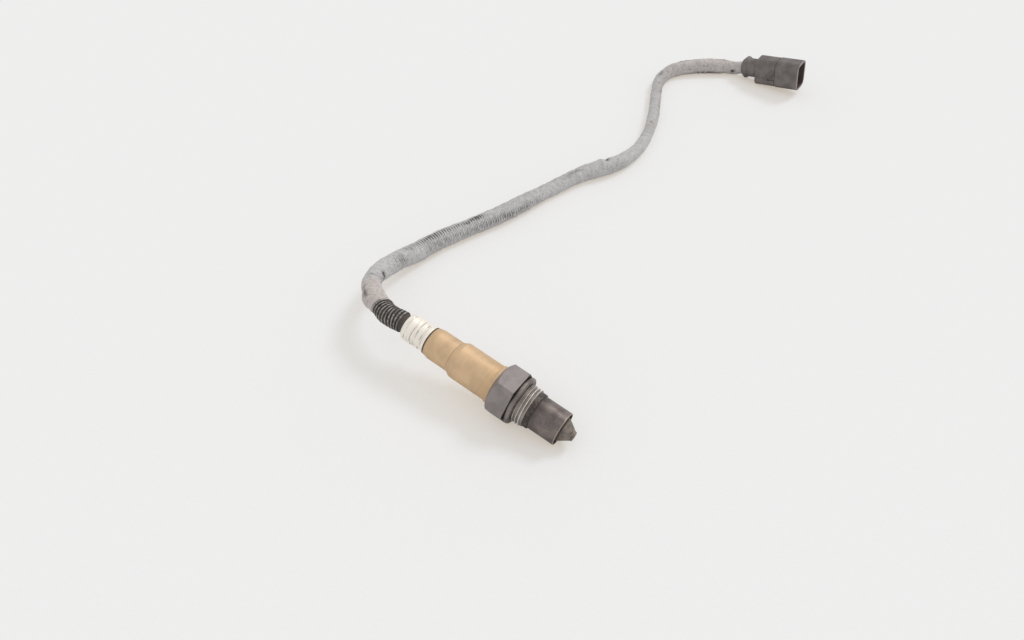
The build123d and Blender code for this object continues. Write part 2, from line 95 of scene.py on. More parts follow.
# How far in front of its own frame's origin each of the two mounts lies.
THREAD_CENTRE = 4.6 * MM
PLUG_LENGTH = 38.3 * MM
SENSOR = Place(behind(thread_mount, THREAD_CENTRE), thread_mount["axis"])
PLUG = Place(behind(socket_mount, PLUG_LENGTH), socket_mount["axis"])

# Stations along the sensor's axis, from the seat face.
LIP_END = 9.9 * MM
THREAD_END = 7.4 * MM
RELIEF_END = 2.3 * MM
TUBE_SEAT = 6.5 * MM
HEX_REAR = -9.7 * MM
COLLAR_REAR = -11.9 * MM
SPIGOT_REAR = -16.9 * MM
FLARE_REAR = -32.7 * MM
SLEEVE_REAR = -45.7 * MM
CRIMP_REAR = -58.71 * MM
CONE_FOOT = 22.6 * MM

# The cable's corners from the boot to the plug, in metres.
CABLE_ROUTE = [
    (-0.05033, 0.00240, 0.02062), (-0.05807, 0.00737, 0.02022), (-0.06580, 0.01160, 0.01800),
    (-0.07100, 0.02020, 0.01460), (-0.07330, 0.03100, 0.01060), (-0.07280, 0.04300, 0.00740),
    (-0.07100, 0.05520, 0.00520), (-0.06720, 0.07000, 0.00430), (-0.05960, 0.08950, 0.00415),
    (-0.05040, 0.11300, 0.00415), (-0.04420, 0.13400, 0.00415), (-0.03670, 0.15450, 0.00415),
    (-0.03110, 0.16520, 0.00415), (-0.02460, 0.17770, 0.00415), (-0.02160, 0.19400, 0.00415),
    (-0.02490, 0.21200, 0.00415), (-0.03190, 0.23250, 0.00415), (-0.04020, 0.25100, 0.00415),
    (-0.04700, 0.26650, 0.00415), (-0.04750, 0.28000, 0.00415), (-0.04310, 0.29240, 0.00415),
    (-0.03510, 0.30150, 0.00415), (-0.02660, 0.30760, 0.00415), (-0.01660, 0.31240, 0.00470),
    (-0.00773, 0.31280, 0.00691),
]


def linear(red, green, blue):
    """A colour of 0 to 255 as a screen shows it, in linear light."""
    parts = np.array([red, green, blue]) / 255
    curved = ((parts + 0.055) / 1.055) ** 2.4
    return tuple(np.where(parts < 0.04045, parts / 12.92, curved).tolist())


# Rubs, soot, dust and edges of the finishes, with painted shade and a painted highlight among them,
# as a screen shows them.
TONES = {
    "dull steel": (126, 118, 114),
    "rubbed steel": (186, 184, 182),
    "thread brown": (136, 127, 121),
    "thread pale": (174, 165, 159),
    # Rubbed thread crests, with a painted highlight.
    "crest rub and highlight": (232, 226, 218),
    "lip soot": (58, 51, 48),
    "lip dust": (86, 77, 73),
    "seat shade": (62, 54, 52),
    "burnt edge": (104, 88, 74),
    "ring rub": (168, 160, 152),
    "tube rub": (166, 152, 142),
    "tube soot": (72, 64, 60),
    "tube scuff": (156, 146, 138),
    "tube rim": (178, 166, 150),
    "olive": (132, 122, 106),
    "cone soot": (60, 54, 50),
    # Painted shade in the gap between the cone's foot and the tube's rim.
    "cone foot shade": (46, 40, 38),
    "warm straw": (216, 174, 128),
    "green straw": (196, 168, 128),
    "pale straw": (232, 206, 172),
    "brown rub": (176, 142, 108),
    # Painted shade along the sleeve's crease.
    "crease shade": (160, 124, 92),
    "sleeve end": (66, 52, 44),
    "grey ring": (140, 130, 121),
    "bright fleck": (250, 246, 240),
    "boot neck": (78, 68, 64),
    "grey cloud": (152, 149, 147),
    "dark fleck": (138, 136, 135),
    "light fleck": (222, 221, 221),
    "bare yarn": (48, 43, 42),
    "faint yarn": (140, 137, 134),
    "speck": (104, 95, 91),
    "specked coat": (158, 147, 141),
    # Stains, and painted shade along the cable's lower side by the plug.
    "smudge_and_shade": (70, 64, 62),
    "plug dust": (142, 133, 126),
    "plug scratch": (158, 150, 144),
    "plug rim": (156, 150, 146),
    # Painted shade inside the socket's mouth.
    "socket": (84, 68, 66),
    "plug seam": (70, 60, 58),
}


def tone(name):
    """The table's colour of that name, in linear light."""
    return linear(*TONES[name])


def colour_of(name, red, green, blue):
    """A colour property with that default."""
    return bpy.props.FloatVectorProperty(
        name=name,
        description=f"Colour of the {name.lower()}",
        subtype="COLOR",
        size=3,
        min=0.0,
        max=1.0,
        default=linear(red, green, blue),
    )


def length_of(name, description, millimetres):
    """A length property with that default."""
    return bpy.props.FloatProperty(
        name=name,
        description=description,
        default=millimetres * MM,
        min=0.0,
        unit="LENGTH",
        precision=5,
    )


class SensorSizes(bpy.types.PropertyGroup):
    """Sizes of the pieces that are made here."""

    thread_pitch: length_of("Thread pitch", "Distance from one thread crest to the next", 1.5)
    thread_depth: length_of("Thread depth", "Height of the thread's ridge", 0.85)
    rib_pitch: length_of("Rib pitch", "Distance from one boot rib to the next", 1.5)
    cable_diameter: length_of("Cable diameter", "Diameter of the cable's sleeving", NOMINAL_CABLE)
    hoop_pitch: length_of("Hoop pitch", "Distance between the sleeving's hoop yarns", 0.95)


class SensorColours(bpy.types.PropertyGroup):
    """Colours of the finishes."""

    hexagon: colour_of("Hexagon steel", 145, 137, 135)
    gasket: colour_of("Seal ring", 130, 121, 117)
    tube: colour_of("Protection tube", 124, 114, 110)
    cone: colour_of("Cone", 128, 118, 110)
    sleeve: colour_of("Straw sleeve", 214, 183, 146)
    crimp: colour_of("Crimp sleeve", 248, 241, 230)
    boot: colour_of("Boot rubber", 78, 73, 70)
    boot_dust: colour_of("Dust on the boot's ribs", 156, 150, 145)
    cable: colour_of("Cable sleeving", 194, 193, 193)
    cable_warm: colour_of("Cable sleeving near the boot", 202, 192, 187)
    cable_stain: colour_of("Worn yarn", 72, 68, 66)
    plug: colour_of("Plug plastic", 112, 105, 102)
    floor: colour_of("Floor", 238, 238, 238)


# ---- surfaces ----


def surface(name, points, tips=(), uv=None, along=False, crease=40.0):
    """A mesh from a grid of points [rows, columns, 3] whose columns go round a section.

    Formula: row i, column j is joined to row i + 1 and column j + 1, and the last column
    to the first. along joins the last row to the first. tips are two points that the
    first and the last row are fanned to. uv holds the rows' and the columns' values,
    each with the closing one."""
    rows, columns = points.shape[:2]
    i = np.arange(rows if along else rows - 1)[:, None]
    j = np.arange(columns)[None, :]
    row = i * columns
    down = (i + 1) % rows * columns
    across = (j + 1) % columns
    quads = np.stack([row + j, row + across, down + across, down + j], axis=-1).reshape(-1, 4)
    corners = points.reshape(-1, 3)
    faces = quads.tolist()
    if len(tips):
        ring = np.arange(columns)
        following = (ring + 1) % columns
        first = len(corners)
        last_row = (rows - 1) * columns
        corners = np.vstack([corners, tips])
        tip = np.full(columns, first)
        start_fan = np.stack([following, ring, tip], axis=-1)
        end_fan = np.stack([last_row + ring, last_row + following, tip + 1], axis=-1)
        faces += start_fan.tolist() + end_fan.tolist()
    mesh = bpy.data.meshes.new(name)
    mesh.from_pydata(corners.tolist(), [], faces)
    if uv is not None:
        u, v = uv
        shape = (len(i), columns, 4)
        row_values = np.stack([u[:-1], u[:-1], u[1:], u[1:]], axis=-1)[:, None, :]
        column_values = np.stack([v[:-1], v[1:], v[1:], v[:-1]], axis=-1)[None, :, :]
        values = [np.broadcast_to(part, shape) for part in (row_values, column_values)]
        flat = np.stack(values, axis=-1).reshape(-1, 2)
        spare = np.zeros((len(mesh.loops) - len(flat), 2))
        layer = mesh.uv_layers.new(name="along_and_round")
        layer.data.foreach_set("uv", np.vstack([flat, spare]).astype(np.float32).ravel())
    mesh.shade_smooth()
    mesh.set_sharp_from_angle(angle=math.radians(crease))
    piece = bpy.data.objects.new(name, mesh)
    bpy.context.scene.collection.objects.link(piece)
    return piece


def mark(piece, name, values):
    """Stores one number for each grid point of the piece, for its finish to read."""
    layer = piece.data.attributes.new(name, "FLOAT", "POINT")
    spare = np.zeros(len(piece.data.vertices) - values.size)
    layer.data.foreach_set("value", np.concatenate([values.ravel(), spare]).astype(np.float32))


def rounded(corners, steps=5):
    """A profile (n, 2) through corners (x, radius, round), each round an arc.

    Formula: an arc of radius q in a corner of angle 2a touches both sides at q / tan(a),
    and its points turn evenly about its centre at q / sin(a) along the bisector."""
    made = []
    for index, (x, y, size) in enumerate(corners):
        corner = np.array([x, y], float)
        if not size:
            made.append(corner[None, :])
            continue
        before = np.array(corners[index - 1][:2], float) - corner
        after = np.array(corners[(index + 1) % len(corners)][:2], float) - corner
        before /= np.linalg.norm(before)
        after /= np.linalg.norm(after)
        half = math.acos(np.clip(before @ after, -1, 1)) / 2
        bisector = (before + after) / np.linalg.norm(before + after)
        centre = corner + bisector * size / math.sin(half)
        start = corner + before * size / math.tan(half) - centre
        end = corner + after * size / math.tan(half) - centre
        sweep = math.pi - 2 * half
        share = np.linspace(0, 1, steps + 1)[:, None]
        swept = np.sin((1 - share) * sweep) * start + np.sin(share * sweep) * end
        made.append(centre + swept / math.sin(sweep))
    return np.vstack(made)


def section_directions(normal, binormal, angles):
    """Directions [rows, columns, 3] out of each section.

    Formula: the angle's cosine along the section's normal plus its sine along the binormal."""
    cosine = np.cos(angles)[None, :, None]
    sine = np.sin(angles)[None, :, None]
    return normal[:, None, :] * cosine + binormal[:, None, :] * sine


def smooth(value, low, high):
    """0 below low, 1 above high, and an S between them."""
    share = np.clip((value - low) / (high - low), 0, 1)
    return share * share * (3 - 2 * share)


def bell(value, centre, width):
    """1 at the centre, falling off over the width either side."""
    return np.exp(-(((value - centre) / width) ** 2))


# ---- finishes ----


class Finish:
    """A material's node tree, or a world's, with one short word for each step they share."""

    def __init__(self, name, kind="materials"):
        self.owner = getattr(bpy.data, kind).new(name)
        self.owner.use_nodes = True
        self.tree = self.owner.node_tree
        self.tree.nodes.clear()

    def add(self, kind, inputs=None, output=0, **settings):
        """A node with its settings, values and links; returns one of its outputs."""
        made = self.tree.nodes.new("ShaderNode" + kind)
        for key, value in settings.items():
            setattr(made, key, value)
        for key, value in (inputs or {}).items():
            socket = made.inputs[key]
            if isinstance(value, bpy.types.NodeSocket):
                self.tree.links.new(value, socket)
            else:
                socket.default_value = value
        return made.outputs[output]

    def here(self, place=None):
        """Object coordinates, in the place's own axes where one is given."""
        vector = self.add("TexCoord", output="Object")
        if place is None:
            return vector
        matrix = place.matrix()
        return self.add(
            "Mapping",
            {"Vector": vector, "Location": matrix.translation, "Rotation": matrix.to_euler()},
            vector_type="TEXTURE",
        )

    def part(self, vector, axis):
        """One of a vector's three parts."""
        return self.add("SeparateXYZ", {"Vector": vector}, output=axis)

    def marked(self, name):
        """The numbers that a piece carries under that name."""
        return self.add("Attribute", attribute_name=name, output="Fac")

    def off(self, value, centre=0.0):
        """How far a value is from a centre."""
        return self.sum("ABSOLUTE", self.sum("SUBTRACT", value, centre))

    def turned(self, vector, along, round_axis):
        """(x * along, angle * round_axis, radius): a pattern drawn out round an axis."""
        y = self.part(vector, "Y")
        z = self.part(vector, "Z")
        angle = self.sum("ARCTAN2", z, y)
        squares = self.sum("ADD", self.times(y, y), self.times(z, z))
        radius = self.sum("SQRT", squares)
        return self.add(
            "CombineXYZ",
            {
                "X": self.times(self.part(vector, "X"), along),
                "Y": self.times(angle, round_axis),
                "Z": self.times(radius, along),
            },
        )

    def sum(self, operation, first, second=0.0, clamp=False):
        """One step of arithmetic."""
        return self.add("Math", {0: first, 1: second}, operation=operation, use_clamp=clamp)

    def times(self, first, second, clamp=False):
        """Their product."""
        return self.sum("MULTIPLY", first, second, clamp)

    def noise(self, vector, scale, detail=3.0, roughness=0.55, distortion=0.0):
        """Clouds of about 1 / scale metres."""
        values = {
            "Vector": vector,
            "Scale": scale,
            "Detail": detail,
            "Roughness": roughness,
            "Distortion": distortion,
        }
        return self.add("TexNoise", values)

    def step(self, value, low, high, to_low=0.0, to_high=1.0):
        """value from low to high, made to_low to to_high with soft ends."""
        ends = {"From Min": low, "From Max": high, "To Min": to_low, "To Max": to_high}
        return self.add("MapRange", {"Value": value, **ends}, interpolation_type="SMOOTHSTEP")

    def mix(self, share, first, second):
        """Colours mixed by the share of the second."""
        values = {0: share, 6: full(first), 7: full(second)}
        return self.add("Mix", values, output=2, data_type="RGBA")

    def clouded(self, clouds, low, high, colour, darker, lighter):
        """A colour that clouds make darker and lighter by those factors."""
        return self.mix(self.step(clouds, low, high), shade(colour, darker), shade(colour, lighter))

    def coat(self, base, value, low, high, most, name):
        """The base with a tone over it, by up to the share most as value goes from low to high."""
        return self.mix(self.step(value, low, high, 0.0, most), base, tone(name))

    def done(self, colour, roughness, height=None, depth=0.0, **fixed):
        """The shader with its colour, roughness, bump height in metres and plain values."""
        values = {"Base Color": full(colour), "Roughness": roughness}
        if height is not None:
            values["Normal"] = self.add("Bump", {"Height": height, "Distance": depth})
        for key, value in fixed.items():
            values[key.replace("_", " ").title().replace("Ior", "IOR")] = value
        shader = self.add("BsdfPrincipled", values)
        self.add_output(shader)
        return self.owner

    def add_output(self, shader, kind="OutputMaterial"):
        """The tree's end."""
        made = self.tree.nodes.new("ShaderNode" + kind)
        self.tree.links.new(shader, made.inputs["Surface"])


def full(colour):
    """A socket as it is, and a colour with its fourth part."""
    if isinstance(colour, bpy.types.NodeSocket):
        return colour
    return (*tuple(colour)[:3], 1.0)


def shade(colour, factor):
    """The same colour, darker or lighter."""
    return tuple(min(1.0, part * factor) for part in tuple(colour)[:3])


def wear_finish(name, material):
    """Puts a finish on the CAD node of that name."""
    node = frame["nodes"][name]
    node.data.materials.clear()
    node.data.materials.append(material)


def hexagon_steel(colours):
    """Dull forged steel, clouded, with a fine grain, painted shade at the seat's edge, and a
    browner thread whose rubbed crests carry a painted highlight.
    """
    f = Finish("hexagon_steel")
    local = f.here(SENSOR)
    x = f.part(local, "X")
    clouds = f.noise(local, 180, 4)
    grain = f.noise(local, 1900, 3)
    speckle = f.noise(local, 900, 2)
    steel = f.clouded(clouds, 0.36, 0.66, colours.hexagon, 0.8, 1.08)
    steel = f.coat(steel, speckle, 0.6, 0.75, 0.4, "dull steel")
    steel = f.coat(steel, speckle, 0.36, 0.22, 0.35, "rubbed steel")
    brown = f.mix(f.step(clouds, 0.3, 0.7), tone("thread brown"), tone("thread pale"))
    # The thread's crests: rubbed, with a painted highlight that is brightest on the front crests.
    crest = f.marked("crest")
    rub_and_highlight = f.times(crest, f.step(x, 3.4 * MM, 5.6 * MM, 0.3, 1.0))
    rub_and_highlight = f.times(rub_and_highlight, f.step(speckle, 0.3, 0.6, 0.55, 1.0))
    brown = f.mix(rub_and_highlight, brown, tone("crest rub and highlight"))
    sooty = f.mix(f.step(speckle, 0.35, 0.65), tone("lip soot"), tone("lip dust"))
    brown = f.mix(f.step(x, THREAD_END - 0.1 * MM, THREAD_END + 0.2 * MM), brown, sooty)
    steel = f.coat(steel, x, -0.35 * MM, -0.1 * MM, 1.0, "seat shade")
    steel = f.mix(f.step(x, 0.0, 0.2 * MM), steel, brown)
    straw = f.clouded(clouds, 0.35, 0.65, colours.sleeve, 0.8, 0.96)
    steel = f.coat(steel, x, HEX_REAR + 0.1 * MM, HEX_REAR - 0.2 * MM, 1.0, "burnt edge")
    steel = f.mix(f.step(x, HEX_REAR - 0.3 * MM, HEX_REAR - 0.8 * MM), steel, straw)
    roughness = f.step(clouds, 0.3, 0.7, 0.42, 0.6)
    return f.done(steel, roughness, grain, 0.05 * MM, metallic=0.45)


def gasket_steel(colours):
    """The ring: dull brown-grey with circular rub marks."""
    f = Finish("gasket_steel")
    local = f.here(SENSOR)
    drawn = f.noise(f.turned(local, 2600, 1.4), 1.0, 3)
    clouds = f.noise(local, 260, 4)
    metal = f.clouded(clouds, 0.35, 0.68, colours.gasket, 0.7, 1.15)
    metal = f.coat(metal, drawn, 0.56, 0.74, 0.6, "ring rub")
    return f.done(metal, f.step(drawn, 0.3, 0.7, 0.38, 0.6), drawn, 0.04 * MM, metallic=0.55)


def tube_steel(colours):
    """Exhaust-stained tube: darkest by the thread, mottled, scuffed, with a pale rubbed rim."""
    f = Finish("tube_steel")
    local = f.here(SENSOR)
    x = f.part(local, "X")
    clouds = f.noise(local, 150, 5, 0.6)
    spots = f.noise(local, 520, 4, 0.65)
    drawn = f.noise(f.turned(local, 900, 2.2), 1.0, 4)
    metal = f.clouded(clouds, 0.34, 0.66, colours.tube, 0.62, 1.12)
    edge = f.sum("ADD", x, f.times(clouds, 3 * MM))
    metal = f.mix(f.step(edge, 17 * MM, 11 * MM, 0.0, 0.8), metal, shade(colours.tube, 0.38))
    metal = f.coat(metal, spots, 0.58, 0.76, 0.55, "tube rub")
    metal = f.coat(metal, spots, 0.4, 0.26, 0.5, "tube soot")
    metal = f.coat(metal, drawn, 0.6, 0.8, 0.35, "tube scuff")
    metal = f.coat(metal, x, 22.1 * MM, 22.6 * MM, 0.7, "tube rim")
    roughness = f.step(spots, 0.3, 0.7, 0.3, 0.52)
    return f.done(metal, roughness, spots, 0.05 * MM, metallic=0.75)


def cone_steel(colours):
    """Sooty cone: olive and brown-grey patches over dull steel, and painted shade in the gap at its
    foot.
    """
    f = Finish("cone_steel")
    local = f.here(SENSOR)
    clouds = f.noise(local, 330, 4, 0.6)
    olive = f.noise(local, 210, 3)
    soot = f.noise(local, 900, 4, 0.7)
    metal = f.clouded(clouds, 0.34, 0.66, colours.cone, 0.55, 1.2)
    metal = f.coat(metal, olive, 0.45, 0.65, 0.6, "olive")
    metal = f.coat(metal, soot, 0.5, 0.72, 0.6, "cone soot")
    # Painted shade in the gap between the cone's foot and the tube's rim.
    foot = f.step(f.part(local, "X"), CONE_FOOT + 1.1 * MM, CONE_FOOT + 0.2 * MM, 0.0, 0.85)
    metal = f.mix(foot, metal, tone("cone foot shade"))
    return f.done(metal, f.step(soot, 0.3, 0.7, 0.42, 0.7), soot, 0.06 * MM, metallic=0.5)


def straw_steel(colours):
    """Straw-tinted drawn sleeve: soft heat bands, fine drawing lines, a few rubs and painted shade
    along the flare's crease.
    """
    f = Finish("straw_steel")
    local = f.here(SENSOR)
    x = f.part(local, "X")
    clouds = f.noise(local, 90, 3)
    drawn = f.noise(f.turned(local, 1500, 0.9), 1.0, 4, 0.6)
    rubs = f.noise(local, 420, 5, 0.7)
    metal = f.clouded(clouds, 0.35, 0.65, colours.sleeve, 0.86, 1.04)
    metal = f.coat(metal, x, -17.5 * MM, -11.5 * MM, 0.3, "warm straw")
    metal = f.coat(metal, x, -40.0 * MM, -46.0 * MM, 0.35, "green straw")
    metal = f.coat(metal, drawn, 0.42, 0.66, 0.22, "pale straw")
    metal = f.coat(metal, rubs, 0.64, 0.8, 0.45, "brown rub")
    # Painted shade along the crease at the flare's small end.
    edge = f.step(f.off(x, FLARE_REAR), 0.5 * MM, 0.1 * MM, 0.0, 0.35)
    metal = f.mix(edge, metal, tone("crease shade"))
    metal = f.coat(metal, x, SLEEVE_REAR + 0.6 * MM, SLEEVE_REAR + 0.2 * MM, 0.85, "sleeve end")
    return f.done(metal, f.step(drawn, 0.3, 0.7, 0.46, 0.58), drawn, 0.012 * MM, metallic=0.6)


def pale_steel(colours):
    """Crimp sleeve: pale satin steel with broken grey rings."""
    f = Finish("pale_steel")
    local = f.here(SENSOR)
    rings = f.noise(f.turned(local, 950, 0.4), 1.0, 5, 0.65, 0.3)
    breaks = f.noise(local, 480, 4)
    fine = f.noise(f.turned(local, 2600, 2.0), 1.0, 3)
    streak = f.times(f.step(rings, 0.54, 0.63), f.step(breaks, 0.36, 0.54, 0.1, 1.0))
    metal = f.mix(f.times(streak, 0.75), colours.crimp, tone("grey ring"))
    metal = f.coat(metal, fine, 0.55, 0.75, 0.35, "bright fleck")
    return f.done(metal, f.step(rings, 0.3, 0.7, 0.4, 0.56), rings, 0.2 * MM, metallic=0.4)


def boot_rubber(colours):
    """Black rubber: dusty, rubbed rib crests and darker grooves."""
    f = Finish("boot_rubber")
    local = f.here()
    crest = f.marked("crest")
    clouds = f.noise(local, 300, 4, 0.6)
    dust = f.noise(local, 900, 3)
    rubber = f.clouded(clouds, 0.35, 0.65, colours.boot, 0.6, 1.2)
    rub = f.times(crest, f.step(dust, 0.38, 0.62, 0.12, 1.0))
    rubber = f.mix(rub, rubber, colours.boot_dust)
    x = f.part(f.here(SENSOR), "X")
    rubber = f.coat(rubber, x, CRIMP_REAR - 3.2 * MM, CRIMP_REAR - 2.2 * MM, 0.6, "boot neck")
    return f.done(rubber, f.step(clouds, 0.3, 0.7, 0.55, 0.8), dust, 0.03 * MM)


def cable_sleeving(colours, sizes):
    """Grey coated sleeving: hoop yarns that show where the coating is rubbed, stains, specks, and
    painted shade along its lower side by the plug.
    """
    f = Finish("cable_sleeving")
    layer = f.add("UVMap", uv_map="along_and_round")
    along = f.part(layer, "X")
    local = f.here()
    worn = f.marked("worn")
    stain_and_shade = f.marked("stain_and_shade")
    warm = f.marked("warm")
    clouds = f.noise(local, 95, 4, 0.6)
    mottle = f.noise(local, 420, 4, 0.65)
    specks = f.noise(local, 620, 2, 0.5)
    lattice = f.add("CombineXYZ", {"X": along, "Y": f.times(f.part(layer, "Y"), 0.35)})
    yarn_noise = f.noise(lattice, 1500, 2)
    wave = f.sum("SINE", f.times(along, 2 * math.pi / sizes.hoop_pitch))
    hoops = f.step(wave, -0.1, 0.4)
    coat = f.clouded(clouds, 0.35, 0.65, colours.cable, 0.9, 1.06)
    coat = f.mix(warm, coat, colours.cable_warm)
    coat = f.coat(coat, mottle, 0.48, 0.7, 0.5, "grey cloud")
    fine = f.noise(local, 1700, 2, 0.6)
    coat = f.coat(coat, fine, 0.5, 0.68, 0.6, "dark fleck")
    coat = f.coat(coat, fine, 0.42, 0.28, 0.7, "light fleck")
    shown = f.times(hoops, f.step(yarn_noise, 0.38, 0.52))
    broken = f.times(worn, f.step(mottle, 0.34, 0.5), clamp=True)
    coat = f.mix(f.times(shown, broken), coat, colours.cable_stain)
    bare = f.marked("bare")
    spread = f.sum("SINE", f.times(along, 2 * math.pi / (1.5 * sizes.hoop_pitch)))
    gaps = f.times(f.step(spread, 0.1, 0.6), f.step(yarn_noise, 0.24, 0.44, 0.4, 1.0))
    coat = f.mix(f.times(gaps, bare, clamp=True), coat, tone("bare yarn"))
    faint = f.times(shown, f.step(clouds, 0.4, 0.6, 0.1, 0.4))
    coat = f.mix(faint, coat, tone("faint yarn"))
    specked = f.marked("specked")
    level = f.sum("ADD", specks, f.times(specked, 0.14))
    coat = f.coat(coat, level, 0.72, 0.79, 0.7, "speck")
    coat = f.coat(coat, specked, 0.1, 1.0, 0.3, "specked coat")
    # Stains, and painted shade where a mark lies along the lower side by the plug.
    smudge_and_shade = f.times(stain_and_shade, f.step(mottle, 0.28, 0.55), clamp=True)
    coat = f.mix(smudge_and_shade, coat, tone("smudge_and_shade"))
    height = f.sum("ADD", f.times(hoops, 0.35), mottle)
    roughness = f.step(mottle, 0.3, 0.7, 0.5, 0.72)
    return f.done(coat, roughness, height, 0.09 * MM, specular_ior_level=0.35)


# Stations along the plug's axis, and the socket's half width and half height.
PLUG_SEAM = 23.4 * MM
SOCKET_FLOOR = 24.0 * MM
MOUTH_HALF_WIDTH = 5.46 * MM
MOUTH_HALF_HEIGHT = 7.36 * MM


def dusty_plastic(colours):
    """Moulded plastic, once black: dusty, with rubbed lighter patches, pale scratches and painted
    shade inside the socket's mouth.
    """
    f = Finish("plug_plastic")
    local = f.here(PLUG)
    clouds = f.noise(local, 170, 4, 0.6)
    dust = f.noise(local, 700, 4, 0.7)
    slant = {"Rotation": (0.2, 0.5, 0.35), "Scale": (60.0, 900.0, 900.0)}
    drawn = f.add("Mapping", {"Vector": local, **slant})
    scratches = f.noise(drawn, 1.0, 2)
    body = f.clouded(clouds, 0.34, 0.68, colours.plug, 0.72, 1.12)
    body = f.coat(body, dust, 0.55, 0.75, 0.5, "plug dust")
    body = f.coat(body, scratches, 0.66, 0.74, 0.35, "plug scratch")
    x = f.part(local, "X")
    # Painted shade: inside the mouth, from the socket's floor on, the plastic is darker and redder.
    inside = f.step(x, SOCKET_FLOOR, SOCKET_FLOOR + 1.0 * MM)
    for axis, half in (("Y", MOUTH_HALF_WIDTH), ("Z", MOUTH_HALF_HEIGHT)):
        within = f.step(f.off(f.part(local, axis)), half, half - 0.05 * MM)
        inside = f.times(inside, within)
    rim = f.step(x, PLUG_LENGTH - 0.35 * MM, PLUG_LENGTH - 0.1 * MM, 0.0, 0.7)
    body = f.mix(rim, body, tone("plug rim"))
    body = f.mix(inside, body, tone("socket"))
    seam = f.step(f.off(x, PLUG_SEAM), 0.5 * MM, 0.2 * MM, 0.0, 0.7)
    seam = f.times(seam, f.step(dust, 0.35, 0.55, 0.4, 1.0))
    body = f.mix(seam, body, tone("plug seam"))
    return f.done(body, f.step(dust, 0.3, 0.7, 0.48, 0.7), dust, 0.04 * MM)


def plain_finish(name, colour, second, scale, depth, roughness, metallic=0.0):
    """A finish of two tones in clouds, with a fine grain, for a piece held inside."""
    f = Finish(name)
    local = f.here()
    clouds = f.noise(local, scale, 4)
    grain = f.noise(local, scale * 6, 3)
    mixed = f.mix(f.step(clouds, 0.35, 0.65), colour, second)
    rough = f.step(grain, 0.3, 0.7, roughness, roughness + 0.15)
    return f.done(mixed, rough, grain, depth, metallic=metallic)


def wear_plain(table):
    """Makes each plain finish of a table and puts it on its CAD nodes."""
    for name, (colour, second, scale, depth, roughness, metallic, nodes) in table.items():
        tones = linear(*colour), linear(*second)
        material = plain_finish(name, *tones, scale, depth * MM, roughness, metallic)
        for node in nodes:
            wear_finish(node, material)


# ---- pieces ----


HEX_APOTHEM = 11.0 * MM
FLAT_HALF_ANGLE = 28.6
FLAT_COLUMNS = 31
FLAT_ROWS = 9
CORNER_ANGLES = (29.3, 30.0, 30.7)
HEX_ROLL = 56.5
HEX_EDGE_ROUND = 0.6 * MM
HEX_REAR_FACE = 10.3 * MM
HEX_REAR_SLOPE = 1.1918
HEX_FRONT_CHAMFER = 0.4 * MM
HEX_EDGE_BREAK = 0.15 * MM
COLLAR_RADIUS = 8.9 * MM
COLLAR_ROUND = 0.4 * MM
SPIGOT_RADIUS = 7.82 * MM
RELIEF_RADIUS = 8.0 * MM
LIP_RADIUS = 8.2 * MM
LIP_ROUND = 0.5 * MM
LIP_BORE = 7.63 * MM
CHAMBER_RADIUS = 4.6 * MM
PACKING_RADIUS = 6.0 * MM
PACKING_SHOULDER = 1.0 * MM
THREAD_RADIUS = 9.0 * MM
THREAD_CHAMFER = 0.5 * MM
THREAD_ROW = 0.07 * MM
# Shares of half a pitch that are crest and flank, and the slope of the rear chamfer.
CREST_SHARE = 0.14
FLANK_SHARE = 0.62
REAR_CHAMFER_SLOPE = 1.4
# Depths below the crest at which its rubbed look, with its painted highlight, starts and is full.
THREAD_RUB_AND_HIGHLIGHT = (0.4 * MM, 0.05 * MM)


def hexagon_angles():
    """Angles round the section: even on each flat, and three more at each rounded corner."""
    flat = np.linspace(-FLAT_HALF_ANGLE, FLAT_HALF_ANGLE, FLAT_COLUMNS)
    sector = np.radians(np.concatenate([flat, CORNER_ANGLES]))
    flats = np.radians(HEX_ROLL + 30 + 60 * np.arange(6))
    return (flats[:, None] + sector[None, :]).ravel()


def hexagon_radius(angles):
    """The hexagon's radius: apothem / cos on a flat, and a circle of the edge's round at a corner.

    Formula: a circle of radius q centred at c on the corner's ray lies at
    c cos(d) + sqrt(q * q - c * c sin(d) * sin(d)) for the angle d from that ray."""
    from_flat = (np.degrees(angles) - HEX_ROLL) % 60 - 30
    from_corner = np.radians(30 - np.abs(from_flat))
    flat = HEX_APOTHEM / np.cos(np.radians(from_flat))
    centre = (HEX_APOTHEM - HEX_EDGE_ROUND) / math.cos(math.radians(30))
    inside = np.maximum(HEX_EDGE_ROUND**2 - (centre * np.sin(from_corner)) ** 2, 0)
    rounded_corner = centre * np.cos(from_corner) + np.sqrt(inside)
    reach = (HEX_APOTHEM - HEX_EDGE_ROUND) * math.tan(math.radians(30))
    touching = math.degrees(math.atan(reach / HEX_APOTHEM))
    return np.where(np.abs(from_flat) > touching, rounded_corner, flat)


def thread_radius(x, angles, sizes):
    """The thread's surface: a ridge whose phase is x / pitch less the turn, cut by end chamfers.

    Formula: crest radius less depth times a trapezoid of the phase, and never above a cone
    at either end of the thread."""
    phase = (x / sizes.thread_pitch - angles / (2 * math.pi)) % 1
    from_crest = np.abs(phase - 0.5) * 2
    groove = np.clip((from_crest - CREST_SHARE) / FLANK_SHARE, 0, 1)
    ridge = THREAD_RADIUS - sizes.thread_depth * groove
    front = THREAD_RADIUS - np.maximum(x - (THREAD_END - THREAD_CHAMFER), 0)
    rear_rise = np.maximum(RELIEF_END + THREAD_CHAMFER - x, 0)
    rear = THREAD_RADIUS - rear_rise * REAR_CHAMFER_SLOPE
    return np.minimum(ridge, np.minimum(front, rear))


